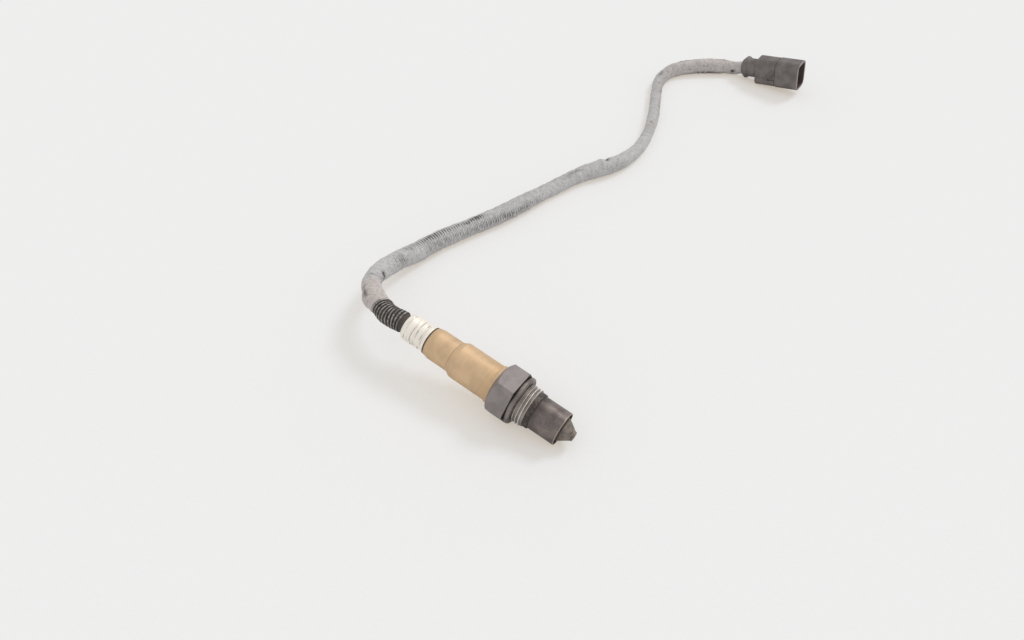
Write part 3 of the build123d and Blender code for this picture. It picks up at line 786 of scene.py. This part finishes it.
def make_housing(sizes):
    """The housing: hexagon with a chamfered rear, collar, relief, cut thread, lip and bores."""
    angles = hexagon_angles()
    hexagon = hexagon_radius(angles)
    rear_edge = HEX_REAR + (hexagon - HEX_REAR_FACE) / HEX_REAR_SLOPE
    chamfered = HEX_APOTHEM / math.cos(math.radians(30)) - HEX_FRONT_CHAMFER
    cut = np.maximum(hexagon - chamfered, HEX_EDGE_BREAK)
    same = np.ones_like(angles)
    rows = [
        (SPIGOT_REAR * same, SPIGOT_RADIUS * same),
        (COLLAR_REAR * same, SPIGOT_RADIUS * same),
    ]
    collar = rounded(
        [
            (COLLAR_REAR, SPIGOT_RADIUS, 0),
            (COLLAR_REAR, COLLAR_RADIUS, COLLAR_ROUND),
            (HEX_REAR, COLLAR_RADIUS, 0),
        ]
    )[1:]
    rows += [(x * same, radius * same) for x, radius in collar]
    rows += [(HEX_REAR * same, HEX_REAR_FACE * same)]
    for share in np.linspace(0, 1, FLAT_ROWS):
        rows.append((rear_edge + share * (-cut - rear_edge), hexagon))
    rows += [
        (0 * same, hexagon - cut),
        (0 * same, RELIEF_RADIUS * same),
        (RELIEF_END * same, RELIEF_RADIUS * same),
    ]
    for x in np.arange(RELIEF_END, THREAD_END, THREAD_ROW):
        rows.append((x * same, thread_radius(x, angles, sizes)))
    lip = rounded(
        [
            (THREAD_END, LIP_RADIUS, 0),
            (LIP_END, LIP_RADIUS, LIP_ROUND),
            (LIP_END, LIP_BORE, 0),
            (TUBE_SEAT, LIP_BORE, 0),
            (TUBE_SEAT, CHAMBER_RADIUS, 0),
            (PACKING_SHOULDER, CHAMBER_RADIUS, 0),
            (PACKING_SHOULDER, PACKING_RADIUS, 0),
            (SPIGOT_REAR, PACKING_RADIUS, 0),
        ]
    )
    rows += [(x * same, radius * same) for x, radius in lip]
    x = np.array([row[0] for row in rows])
    radius = np.array([row[1] for row in rows])
    turned_points = np.stack([x, radius * np.cos(angles), radius * np.sin(angles)], axis=-1)
    piece = surface("threaded_housing", SENSOR.set(turned_points), along=True, crease=32.0)
    on_thread = smooth(x, RELIEF_END, RELIEF_END + 0.1 * MM) * (x < THREAD_END + 0.2 * MM)
    # Crests, which the finish shows rubbed and with a painted highlight.
    started, full_rub = (THREAD_RADIUS - depth for depth in THREAD_RUB_AND_HIGHLIGHT)
    crest = smooth(radius, started, full_rub) * on_thread
    mark(piece, "crest", crest)
    return piece


BOOT_NECK = 4.7 * MM
BOOT_FLANGE = 5.37 * MM
BOOT_FLANGE_THICKNESS = 0.6 * MM
BOOT_FLANGE_START = -0.53 * MM - BOOT_FLANGE_THICKNESS
BOOT_ROOT = 4.15 * MM
BOOT_RIB = 4.95 * MM
BOOT_BORE = 3.15 * MM
BOOT_STRAIGHT = 0.6 * MM
# (length, angle, lean) of the boot's two bends: it sags first, then turns to one side.
BOOT_BENDS = [(6.4 * MM, 13.0, -105.0), (10.4 * MM, 36.0, 0.0)]
BOOT_COLUMNS = 96
BOOT_BORE_ROWS = 12
BOOT_END_ROUND = 0.25 * MM
# The share of its radius by which the boot's section is out of round.
BOOT_WAVER = 0.012
RIB_COUNT = 10
RIB_WIDTH = 1.0 * MM
RIB_START = 2.9 * MM
RIB_ROUND = 0.35 * MM
RIB_FOOT_ROUND = 0.12 * MM
RIB_LEAN = 0.06 * MM
# Depths below the crest at which its rubbed look starts and is full.
RIB_RUBBED = (0.12 * MM, 0.02 * MM)


def boot_line(distance):
    """The boot's centreline and its section's axes at each distance back from the crimp sleeve.

    Formula: straight for the first stretch, then arcs in turn. An arc of radius q leans to
    the side s; after a turn t its point is q (1 - cos t) s + q sin t b, b being straight
    back, and its axes are turned by t about b x s. Each arc starts in the last one's axes."""
    back = np.array([-1.0, 0.0, 0.0])
    straight = np.minimum(distance, BOOT_STRAIGHT)[:, None]
    centre = np.array([CRIMP_REAR, 0, 0]) + straight * back
    axes = np.broadcast_to(np.eye(3), (len(distance), 3, 3))
    left = distance - BOOT_STRAIGHT
    for length, angle, lean in BOOT_BENDS:
        radius = length / math.radians(angle)
        turn = (np.clip(left, 0, length) / radius)[:, None]
        side = np.array([0, math.cos(math.radians(lean)), math.sin(math.radians(lean))])
        step = radius * ((1 - np.cos(turn)) * side + np.sin(turn) * back)
        centre = centre + np.einsum("nij,nj->ni", axes, step)
        hinge = np.cross(back, side)
        across = np.cross(hinge, np.eye(3)).T
        about = np.outer(hinge, hinge)
        cosine = np.cos(turn)[:, :, None]
        spin = cosine * np.eye(3) + np.sin(turn)[:, :, None] * across + (1 - cosine) * about
        axes = axes @ spin
        left = left - length
    return centre, axes[:, :, 1], -axes[:, :, 2]


def make_boot(sizes):
    """The ribbed boot.

    Formula: a profile of ribs, end and bore is carried along the boot's bent line."""
    length = BOOT_STRAIGHT + sum(bend[0] for bend in BOOT_BENDS)
    corners = [
        (BOOT_FLANGE_START, BOOT_BORE, 0),
        (BOOT_FLANGE_START, BOOT_FLANGE, 0),
        (BOOT_FLANGE_START + BOOT_FLANGE_THICKNESS, BOOT_FLANGE, 0),
        (BOOT_FLANGE_START + BOOT_FLANGE_THICKNESS, BOOT_NECK, 0),
        (0, BOOT_NECK, 0),
        (0.05 * MM, BOOT_ROOT, 0),
    ]
    for index in range(RIB_COUNT):
        start = RIB_START + index * sizes.rib_pitch - RIB_WIDTH / 2
        end = start + RIB_WIDTH
        corners += [
            (start, BOOT_ROOT, RIB_FOOT_ROUND),
            (start + RIB_LEAN, BOOT_RIB, RIB_ROUND),
            (end - RIB_LEAN, BOOT_RIB, RIB_ROUND),
            (end, BOOT_ROOT, RIB_FOOT_ROUND),
        ]
    corners += [(length, BOOT_ROOT, BOOT_END_ROUND)]
    corners += [(distance, BOOT_BORE, 0) for distance in np.linspace(length, 0, BOOT_BORE_ROWS)]
    distance, radius = rounded(corners).T
    angles = np.linspace(0, 2 * math.pi, BOOT_COLUMNS, endpoint=False)
    centre, normal, binormal = boot_line(distance)
    waver = 1 + BOOT_WAVER * np.sin(3 * angles[None, :] + distance[:, None] / MM)
    spread = (radius[:, None] * waver)[..., None]
    points = centre[:, None, :] + spread * section_directions(normal, binormal, angles)
    piece = surface("ribbed_boot", SENSOR.set(points), along=True, crease=50.0)
    started, full_rub = (BOOT_RIB - depth for depth in RIB_RUBBED)
    crest = smooth(radius, started, full_rub)
    mark(piece, "crest", np.repeat(crest[:, None], BOOT_COLUMNS, axis=1))
    return piece


CABLE_ROWS = 720
CABLE_COLUMNS = 72
SOFTENED = 8
# The cable's own heights over the floor: its line's gap and its underside.
FLOOR_GAP = 0.05 * MM
FLOOR_SKIN = 0.03 * MM
# Heights of the line between which it comes to lie on the floor.
FREE_HEIGHT = 8 * MM
LAID_HEIGHT = 4.6 * MM
# The bend's radius at which the ripples on its inner side are at their highest.
TIGHT_BEND = 25 * MM
# From here on, the cable's form is in millimetres and its turns are in radians.
# (height, reach, turns round the cable, phase) of the slow lumps.
LUMPS = [(0.09, 3.7, 2, 0.0), (0.07, 1.53, -1, 1.0), (0.06, 0.83, 3, 0.6), (0.05, 0.47, -2, 0.0)]
RIPPLE_HEIGHT = 0.16
RIPPLE_PITCH = 3.3
RIPPLE_SWAY = 0.7
RIPPLE_SWAY_REACH = 2.1
# (height, distance, half length, sharpness) of the fold on the first bend's inner side.
FOLD = [(-0.95, 22.6, 0.9, 0.7), (0.5, 19.6, 1.6, 1.0), (0.35, 25.6, 1.5, 1.0)]
# (height, distance, half length) of the wrinkle, and how far round it lies.
WRINKLE = [(0.45, 183.0, 1.5), (-0.6, 186.5, 1.0), (0.2, 189.5, 1.6)]
WRINKLE_TURN = -0.7
# (height, distance, half length) of the drawn-in end, and of the bulge behind the boot.
HEM = (-0.35, 0.0, 0.5)
BULGE = (2.4, 7.0, 5.8)
BULGE_TURN = math.radians(268)
BULGE_HALF_TURN = 0.95
# (distance from the boot, radius, sideways set) of the sleeving, in millimetres.
CABLE_FORM = [
    (0, 4.5, 0.45), (4, 4.42, 0.48), (12, 4.25, 0.7), (20, 4.25, 0.55), (28, 4.35, 0.12),
    (36, 4.68, 0.06), (44, 4.9, 0.15), (52, 4.87, 0.35), (60, 5.0, 0.4), (68, 4.97, 0.4),
    (76, 4.8, 0.2), (84, 4.62, -0.24), (92, 4.57, -0.55), (100, 4.57, -0.78), (108, 4.57, -0.98),
    (116, 4.8, -0.92), (124, 4.68, -0.45), (132, 4.43, 0.2), (140, 4.23, 0.3), (148, 4.02, 0.4),
    (156, 4.12, 0.58), (164, 4.27, 0.83), (172, 4.42, 0.8), (176, 4.55, 0.4), (180, 4.8, -0.1),
    (184, 4.85, -0.4), (188, 4.6, -0.6), (192, 4.4, -0.5), (196, 4.25, -0.25), (204, 4.0, 0.25),
    (212, 3.74, 0.47), (220, 3.48, 0.41), (228, 3.3, 0.3), (236, 3.3, 0.05), (244, 3.48, -0.16),
    (256, 3.45, -0.1), (268, 3.35, -0.06), (284, 3.4, -0.08), (292, 3.55, 0.18), (300, 3.86, 0.5),
    (308, 4.15, 0.35), (312, 4.25, -0.1), (316, 4.45, -0.9), (320, 4.6, -1.6), (328, 4.7, -2.1),
    (340, 4.7, -2.2), (344, 4.6, -1.7), (350, 4.15, -0.5), (356, 3.8, -0.2), (360, 3.7, 0),
]
# What is drawn on the sleeving, by the name under which its finish reads it: rubbed places,
# dark stains with painted shade along the lower side by the plug, specked places and bared hoop
# yarns.
# (distance, half length, degrees from the top, half width in degrees, strength)
PLACES = {
    "worn": [
        (8, 5, -50, 22, 0.7), (44, 6, 40, 34, 1.0), (56, 6, 0, 30, 0.6), (66, 5, -6, 18, 0.4),
        (78, 8, -2, 19, 0.5), (73, 10, 60, 34, 0.7), (88, 4, 2, 17, 0.9), (98, 4.5, 2, 20, 0.6),
        (96, 16, 70, 36, 0.9), (112, 10, 76, 30, 0.8), (128, 12, 76, 28, 0.6),
        (128, 14, -6, 20, 0.4), (152, 10, 0, 24, 0.4), (166, 6, 12, 20, 0.7),
        (192, 8, 70, 36, 0.5),
    ],
    "stain_and_shade": [
        (9, 3.5, -52, 7, 0.9), (13.5, 0.8, -46, 20, 0.8), (21, 0.6, 10, 34, 0.5),
        (27.6, 1.6, 80, 24, 2.4), (48, 3.0, 62, 16, 0.4), (70, 3.0, -4, 9, 0.9),
        (97.5, 3.0, 0, 11, 1.3), (92, 1.6, 14, 8, 0.8), (166, 4.0, 12, 12, 0.5),
        (186.5, 1.2, -12, 14, 1.4), (262, 4.0, 70, 14, 0.5), (280, 3.5, 60, 14, 0.6),
        # The mark at 332 is painted shade along the cable's lower side by the plug.
        (296, 3.0, -8, 14, 0.6), (318, 5.0, -20, 10, 0.6), (332, 13, 118, 12, 1.0),
        (345, 4.0, -14, 9, 1.2), (352, 1.8, 96, 14, 1.6),
    ],
    "specked": [
        (18, 14, 20, 60, 0.35), (216, 5, 20, 60, 0.5), (236, 10, 20, 60, 0.8),
        (258, 12, 60, 50, 1.0), (284, 14, 30, 60, 1.0), (306, 10, 20, 60, 1.0),
        (330, 14, 70, 50, 0.8), (348, 8, 0, 50, 0.8),
    ],
    "bare": [
        (19, 1.5, -10, 14, 0.5), (46, 3, 45, 26, 0.5), (54, 3, 2, 16, 0.6), (63, 4, 0, 18, 0.9),
        (71, 4, 4, 22, 1.5), (79, 5, 4, 20, 1.2), (87, 3, 0, 14, 0.8), (92, 2, 10, 15, 1.2),
        (98, 4, 2, 19, 1.8), (86, 12, 62, 15, 0.45), (108, 12, 68, 18, 0.6),
        (126, 9, 72, 16, 0.45),
    ],
}
# The highest value that places lying over one another add up to.
MOST_MARKED = 1.5
# Distances between which the warm tint by the boot fades, and comes again by the plug.
WARM_FADE = (15, 20)
WARM_RISE = (290, 330)
WARM_AGAIN = 0.7


def cable_line():
    """Points of the NURBS curve whose control points are the cable's route."""
    curve = bpy.data.curves.new("cable_line", "CURVE")
    curve.dimensions = "3D"
    curve.resolution_u = 32
    spline = curve.splines.new("NURBS")
    spline.points.add(len(CABLE_ROUTE) - 1)
    for point, place in zip(spline.points, CABLE_ROUTE):
        point.co = (*place, 1.0)
    spline.order_u = 3
    spline.use_endpoint_u = True
    holder = bpy.data.objects.new("cable_line", curve)
    bpy.context.scene.collection.objects.link(holder)
    mesh = bpy.data.meshes.new_from_object(holder)
    points = np.array([vertex.co for vertex in mesh.vertices], float)
    bpy.data.objects.remove(holder)
    bpy.data.curves.remove(curve)
    bpy.data.meshes.remove(mesh)
    return points


def even_line(points, count):
    """The same line with its points at even distances, and those distances."""
    walked = np.concatenate([[0], np.cumsum(np.linalg.norm(np.diff(points, axis=0), axis=1))])
    distance = np.linspace(0, walked[-1], count)
    return np.column_stack([np.interp(distance, walked, points[:, k]) for k in range(3)]), distance


def softened(values):
    """The same values, each the mean of those within SOFTENED rows of it."""
    window = 2 * SOFTENED + 1
    padded = np.pad(values, SOFTENED, mode="edge")
    return np.convolve(padded, np.ones(window) / window, mode="valid")


def unit(vectors):
    """The same directions at length 1."""
    return vectors / np.linalg.norm(vectors, axis=1)[:, None]


def places_on(table, distance, angles):
    """The sum of the table's places, each a bell along the cable times a bell round it."""
    total = np.zeros((len(distance), len(angles)))
    for centre, half_length, angle, half_width, strength in table:
        off = (np.degrees(angles) - angle + 180) % 360 - 180
        lengthwise = bell(distance, centre * MM, half_length * MM)
        total += strength * np.outer(lengthwise, bell(off, 0, half_width))
    return np.clip(total, 0, MOST_MARKED)


def raised(form, along):
    """A height times a bell of the distance along the cable."""
    height, place, half_length = form
    return height * bell(along, place, half_length)


def cable_relief(distance, angles, inner_angle, tightness):
    """What is added to the cable's radius, in millimetres, at each distance and angle.

    Formula: lumps (sines of the distance and the angle), ripples and a fold (sine and
    bells of the distance, times the cosine from the bend's inner side), a wrinkle (bells
    times the cosine from its own side), a drawn-in end and a bulge (bells of both)."""
    along = distance[:, None] / MM
    round_it = angles[None, :]
    relief = np.zeros((len(distance), len(angles)))
    for height, reach, turns, phase in LUMPS:
        relief += height * np.sin(along / reach + turns * round_it + phase)
    inner = np.clip(np.cos(round_it - inner_angle[:, None]), 0, 1)
    sway = RIPPLE_SWAY * np.sin(along / RIPPLE_SWAY_REACH)
    ripples = np.sin(along * 2 * math.pi / RIPPLE_PITCH + sway)
    relief += RIPPLE_HEIGHT * ripples * inner * tightness[:, None]
    for *form, sharpness in FOLD:
        relief += raised(form, along) * inner**sharpness
    wrinkled = np.clip(np.cos(round_it - WRINKLE_TURN), 0, 1)
    relief += sum(raised(form, along) for form in WRINKLE) * wrinkled
    relief += raised(BULGE, along) * bell(round_it, BULGE_TURN, BULGE_HALF_TURN)
    return relief + raised(HEM, along)


def make_cable(sizes):
    """The cable: a soft sleeve along its line, thicker and thinner, resting on the floor.

    Formula: at each point of the line, a circle square to it whose radius is the table's
    plus the relief; below the floor's level the circle is flattened."""
    centre, distance = even_line(cable_line(), CABLE_ROWS)
    form = np.array(CABLE_FORM) * MM
    radius, sway = (softened(np.interp(distance, form[:, 0], form[:, k])) for k in (1, 2))
    radius *= sizes.cable_diameter / (NOMINAL_CABLE * MM)
    up = np.array([0.0, 0.0, 1.0])
    centre = centre + sway[:, None] * unit(np.cross(up, np.gradient(centre, distance, axis=0)))
    heading = unit(np.gradient(centre, distance, axis=0))
    normal = unit(up - (heading @ up)[:, None] * heading)
    binormal = np.cross(heading, normal)
    turning = np.gradient(heading, distance, axis=0)
    inner_angle = np.arctan2((turning * binormal).sum(1), (turning * normal).sum(1))
    tightness = np.clip(np.linalg.norm(turning, axis=1) * TIGHT_BEND, 0, 1)
    laid = smooth(-centre[:, 2], -FREE_HEIGHT, -LAID_HEIGHT)
    line = centre + (laid * (radius + FLOOR_GAP - centre[:, 2]))[:, None] * up
    angles = np.linspace(0, 2 * math.pi, CABLE_COLUMNS, endpoint=False)
    shape = radius[:, None] + cable_relief(distance, angles, inner_angle, tightness) * MM
    out = section_directions(normal, binormal, angles)
    points = line[:, None, :] + shape[..., None] * out
    points[..., 2] = np.maximum(points[..., 2], FLOOR_SKIN)
    girth = math.pi * sizes.cable_diameter
    uv = (distance, np.linspace(0, girth, CABLE_COLUMNS + 1))
    piece = surface("sleeved_cable", points, tips=(line[0], line[-1]), uv=uv, crease=75.0)
    along = distance / MM
    for name, table in PLACES.items():
        mark(piece, name, places_on(table, distance, angles))
    warm = 1 - smooth(along, *WARM_FADE) + WARM_AGAIN * smooth(along, *WARM_RISE)
    mark(piece, "warm", np.repeat(warm[:, None], CABLE_COLUMNS, axis=1))
    return piece, line, distance[-1]


def dress(piece, material, slot, *nodes):
    """Gives a new piece its finish in a material slot and its body, and hides the CAD nodes that it
    stands for; slot is not used.
    """
    piece.data.materials.append(material)
    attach(piece, "root")
    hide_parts(*nodes)


# Finish: two colours, cloud scale, bump in millimetres, roughness, metallic share, CAD nodes.
PLUG_FINISHES = {
    "seal_silicone": ((150, 74, 48), (128, 60, 40), 200, 0.02, 0.5, 0.0, ["wire_seal"]),
    "lock_plastic": ((120, 116, 110), (98, 94, 90), 300, 0.02, 0.5, 0.0, ["terminal_lock"]),
    "terminal_metal": ((196, 190, 178), (168, 160, 146), 600, 0.01, 0.28, 1.0, ["terminal_pins"]),
    "plug_wire_insulation": ((92, 92, 94), (76, 76, 78), 400, 0.01, 0.45, 0.0, ["plug_wires"]),
    "chip_ceramic": ((52, 52, 56), (40, 40, 44), 900, 0.01, 0.4, 0.0, ["trim_chip"]),
}
INSIDE_FINISHES = {
    "element_ceramic": (
        (222, 222, 218), (206, 205, 200), 300, 0.01, 0.35, 0.0,
        ["sensing_element"],
    ),
    "bush_ceramic": (
        (232, 228, 218), (216, 210, 198), 260, 0.02, 0.6, 0.0,
        ["front_ceramic_bush", "rear_ceramic_bush"],
    ),
    "talc_powder": ((226, 224, 216), (208, 205, 196), 700, 0.05, 0.8, 0.0, ["talc_packing"]),
    "holder_ceramic": (
        (236, 233, 226), (222, 218, 210), 240, 0.02, 0.5, 0.0,
        ["contact_holder_upper", "contact_holder_lower"],
    ),
    "contact_metal": ((204, 200, 192), (184, 178, 168), 500, 0.01, 0.25, 1.0, ["contact_springs"]),
    "clamp_steel": ((186, 186, 186), (160, 160, 162), 300, 0.01, 0.3, 1.0, ["contact_clamp_ring"]),
    "grommet_rubber": ((120, 62, 46), (98, 50, 38), 260, 0.03, 0.55, 0.0, ["wire_grommet"]),
}
WIRE_COLOURS = {
    "black": (38, 38, 40),
    "red": (176, 40, 36),
    "white": (230, 230, 226),
    "yellow": (226, 196, 60),
    "grey": (128, 130, 132),
}


# ---- operators ----


class SENSOR_OT_housing(bpy.types.Operator):
    """Makes the threaded housing and gives it its steel"""

    bl_idname = "sensor.housing"
    bl_label = "Housing"

    def execute(self, context):
        piece = make_housing(context.scene.sensor_sizes)
        dress(piece, hexagon_steel(context.scene.sensor_colours), "hexagon_steel", "housing")
        return {"FINISHED"}


class SENSOR_OT_boot(bpy.types.Operator):
    """Makes the ribbed boot and gives it its rubber"""

    bl_idname = "sensor.boot"
    bl_label = "Boot"

    def execute(self, context):
        piece = make_boot(context.scene.sensor_sizes)
        dress(piece, boot_rubber(context.scene.sensor_colours), "boot_rubber", "corrugated_boot")
        return {"FINISHED"}


class SENSOR_OT_cable(bpy.types.Operator):
    bl_idname = "sensor.cable"
    bl_label = "Cable"

    def execute(self, context):
        sizes = context.scene.sensor_sizes
        piece, line, length = make_cable(sizes)
        dress(piece, cable_sleeving(context.scene.sensor_colours, sizes), "cable_sleeving", "cable")
        return {"FINISHED"}


class SENSOR_OT_steel(bpy.types.Operator):
    """Finishes the ring, the protection tubes and the sleeves"""

    bl_idname = "sensor.steel"
    bl_label = "Steel pieces"

    def execute(self, context):
        colours = context.scene.sensor_colours
        wear_finish("seal_ring", gasket_steel(colours))
        wear_finish("outer_protection_tube", tube_steel(colours))
        wear_finish("inner_protection_tube", cone_steel(colours))
        wear_finish("protective_sleeve", straw_steel(colours))
        wear_finish("crimp_sleeve", pale_steel(colours))
        return {"FINISHED"}


class SENSOR_OT_plug(bpy.types.Operator):
    """Finishes the plug's cap, housing, seal, lock plate and terminals"""

    bl_idname = "sensor.plug"
    bl_label = "Plug"

    def execute(self, context):
        plastic = dusty_plastic(context.scene.sensor_colours)
        wear_finish("connector_cap", plastic)
        wear_finish("connector_housing", plastic)
        wear_plain(PLUG_FINISHES)
        return {"FINISHED"}


class SENSOR_OT_inside(bpy.types.Operator):
    """Finishes the pieces held inside the sensor"""

    bl_idname = "sensor.inside"
    bl_label = "Inner pieces"

    def execute(self, context):
        wear_plain(INSIDE_FINISHES)
        return {"FINISHED"}


class SENSOR_OT_wires(bpy.types.Operator):
    """Finishes the five lead wires, one colour each"""

    bl_idname = "sensor.wires"
    bl_label = "Lead wires"

    def execute(self, context):
        for number, (word, shown) in enumerate(WIRE_COLOURS.items(), start=1):
            colour = linear(*shown)
            look = {"scale": 400, "depth": 0.01 * MM, "roughness": 0.4}
            material = plain_finish(f"wire_{word}", colour, shade(colour, 0.85), **look)
            wear_finish(f"lead_wire_{number}", material)
        return {"FINISHED"}


CAMERA_PLACE = (0.13226, -0.16112, 0.27211)
CAMERA_HEADING = (-0.56639, 0.82414)
CAMERA_PITCH = 47.564
CAMERA_LENS = 27.26
SENSOR_WIDTH = 36.0
FLOOR_HALF = 6.0
SKY_LEVEL = 0.77
SKY_SEEN = 0.86
SEEN_BY = ("Camera", "Transmission")
SUN_LEVEL = 1.0
SUN_SPREAD = 18.0
SUN_COLOUR = (1.0, 0.985, 0.965)
SUN_FROM = (0.3, 0.85, 1.0)
# How much the floor's grain lightens and darkens it.
BOARD_GRAIN = 0.015
# The share of red, green and blue of the floor that the light makes, for the camera.
SHADE = np.array([0.47, 0.54, 0.63])


def make_camera():
    """The camera: level, pitched down, looking over the tip towards the plug."""
    pitch = math.radians(CAMERA_PITCH)
    level = Vector((*CAMERA_HEADING, 0)).normalized()
    forward = level * math.cos(pitch) - Vector((0, 0, 1)) * math.sin(pitch)
    right = forward.cross(Vector((0, 0, 1))).normalized()
    upward = right.cross(forward)
    turn = Matrix((right, upward, -forward)).transposed().to_4x4()
    data = bpy.data.cameras.new("camera")
    data.sensor_width = SENSOR_WIDTH
    data.lens = CAMERA_LENS
    data.clip_start = 0.01
    data.clip_end = 50.0
    camera = bpy.data.objects.new("camera", data)
    camera.matrix_world = Matrix.Translation(CAMERA_PLACE) @ turn
    bpy.context.scene.collection.objects.link(camera)
    bpy.context.scene.camera = camera


def floor_finish(colours):
    """Pale board with a faint, fine grain, whose shadows look soft and a little warm.

    Formula: the camera sees the share SHADE of it lit and the rest at its own paleness;
    the shares of the three colours differ, so that a shadow turns warm."""
    f = Finish("pale_board")
    grain = f.noise(f.here(), 700, 3, 0.7)
    pale = np.array(tuple(colours.floor))
    lit = pale * SHADE
    lit_part = f.mix(f.step(grain, 0.3, 0.7), lit * (1 - BOARD_GRAIN), lit * (1 + BOARD_GRAIN))
    seen = f.add("BsdfDiffuse", {"Color": lit_part})
    glow = f.add("Emission", {"Color": full(pale - lit), "Strength": 1.0})
    both = f.add("AddShader", {0: seen, 1: glow})
    plain = f.add("BsdfDiffuse", {"Color": full(pale)})
    camera = f.add("LightPath", output="Is Camera Ray")
    f.add_output(f.add("MixShader", {0: camera, 1: plain, 2: both}))
    return f.owner


def make_sky():
    """A plain pale surround: even light, and a little paler where it is seen directly."""
    f = Finish("surround", "worlds")
    bpy.context.scene.world = f.owner
    direct, through = (f.add("LightPath", output=f"Is {kind} Ray") for kind in SEEN_BY)
    seen = f.sum("MAXIMUM", direct, through)
    strength = f.add("MapRange", {"Value": seen, "To Min": SKY_LEVEL, "To Max": SKY_SEEN})
    light = f.add("Background", {"Color": (1.0, 1.0, 1.0, 1.0), "Strength": strength})
    f.add_output(light, "OutputWorld")


def make_sun():
    """One broad, soft key light from behind and to the right."""
    data = bpy.data.lights.new("key", "SUN")
    data.energy = SUN_LEVEL
    data.angle = math.radians(SUN_SPREAD)
    data.color = SUN_COLOUR
    sun = bpy.data.objects.new("key", data)
    sun.rotation_mode = "QUATERNION"
    sun.rotation_quaternion = Vector(SUN_FROM).to_track_quat("Z", "Y")
    bpy.context.scene.collection.objects.link(sun)


class SENSOR_OT_stage(bpy.types.Operator):
    """Sets the floor, the light and the camera"""

    bl_idname = "sensor.stage"
    bl_label = "Stage"

    def execute(self, context):
        mesh = bpy.data.meshes.new("floor")
        signs = ((-1, -1), (1, -1), (1, 1), (-1, 1))
        corners = [(x * FLOOR_HALF, y * FLOOR_HALF, 0.0) for x, y in signs]
        mesh.from_pydata(corners, [], [(0, 1, 2, 3)])
        floor = bpy.data.objects.new("floor", mesh)
        floor.data.materials.append(floor_finish(context.scene.sensor_colours))
        context.scene.collection.objects.link(floor)
        make_sky()
        make_sun()
        make_camera()
        context.scene.view_settings.view_transform = "Standard"
        return {"FINISHED"}


STEPS = (
    SENSOR_OT_stage,
    SENSOR_OT_cable,
    SENSOR_OT_housing,
    SENSOR_OT_boot,
    SENSOR_OT_steel,
    SENSOR_OT_plug,
    SENSOR_OT_inside,
    SENSOR_OT_wires,
)


class SENSOR_PT_steps(bpy.types.Panel):
    """The steps and their sizes and colours"""

    bl_idname = "SENSOR_PT_steps"
    bl_label = "Oxygen sensor"
    bl_space_type = "VIEW_3D"
    bl_region_type = "UI"
    bl_category = "Sensor"

    def draw(self, context):
        for step in STEPS:
            self.layout.operator(step.bl_idname)
        for group in (context.scene.sensor_sizes, context.scene.sensor_colours):
            for name in group.__annotations__:
                self.layout.prop(group, name)


CLASSES = (SensorSizes, SensorColours, *STEPS, SENSOR_PT_steps)


def register():
    """Registers the classes and hangs the settings on the scene."""
    for made in CLASSES:
        bpy.utils.register_class(made)
    bpy.types.Scene.sensor_sizes = bpy.props.PointerProperty(type=SensorSizes)
    bpy.types.Scene.sensor_colours = bpy.props.PointerProperty(type=SensorColours)


def unregister():
    """Takes the settings and the classes away again."""
    del bpy.types.Scene.sensor_colours
    del bpy.types.Scene.sensor_sizes
    for made in reversed(CLASSES):
        bpy.utils.unregister_class(made)


def main():
    """Runs every step in order."""
    register()
    bpy.ops.sensor.stage()
    bpy.ops.sensor.cable()
    bpy.ops.sensor.housing()
    bpy.ops.sensor.boot()
    bpy.ops.sensor.steel()
    bpy.ops.sensor.plug()
    bpy.ops.sensor.inside()
    bpy.ops.sensor.wires()


if __name__ == "__main__":
    main()
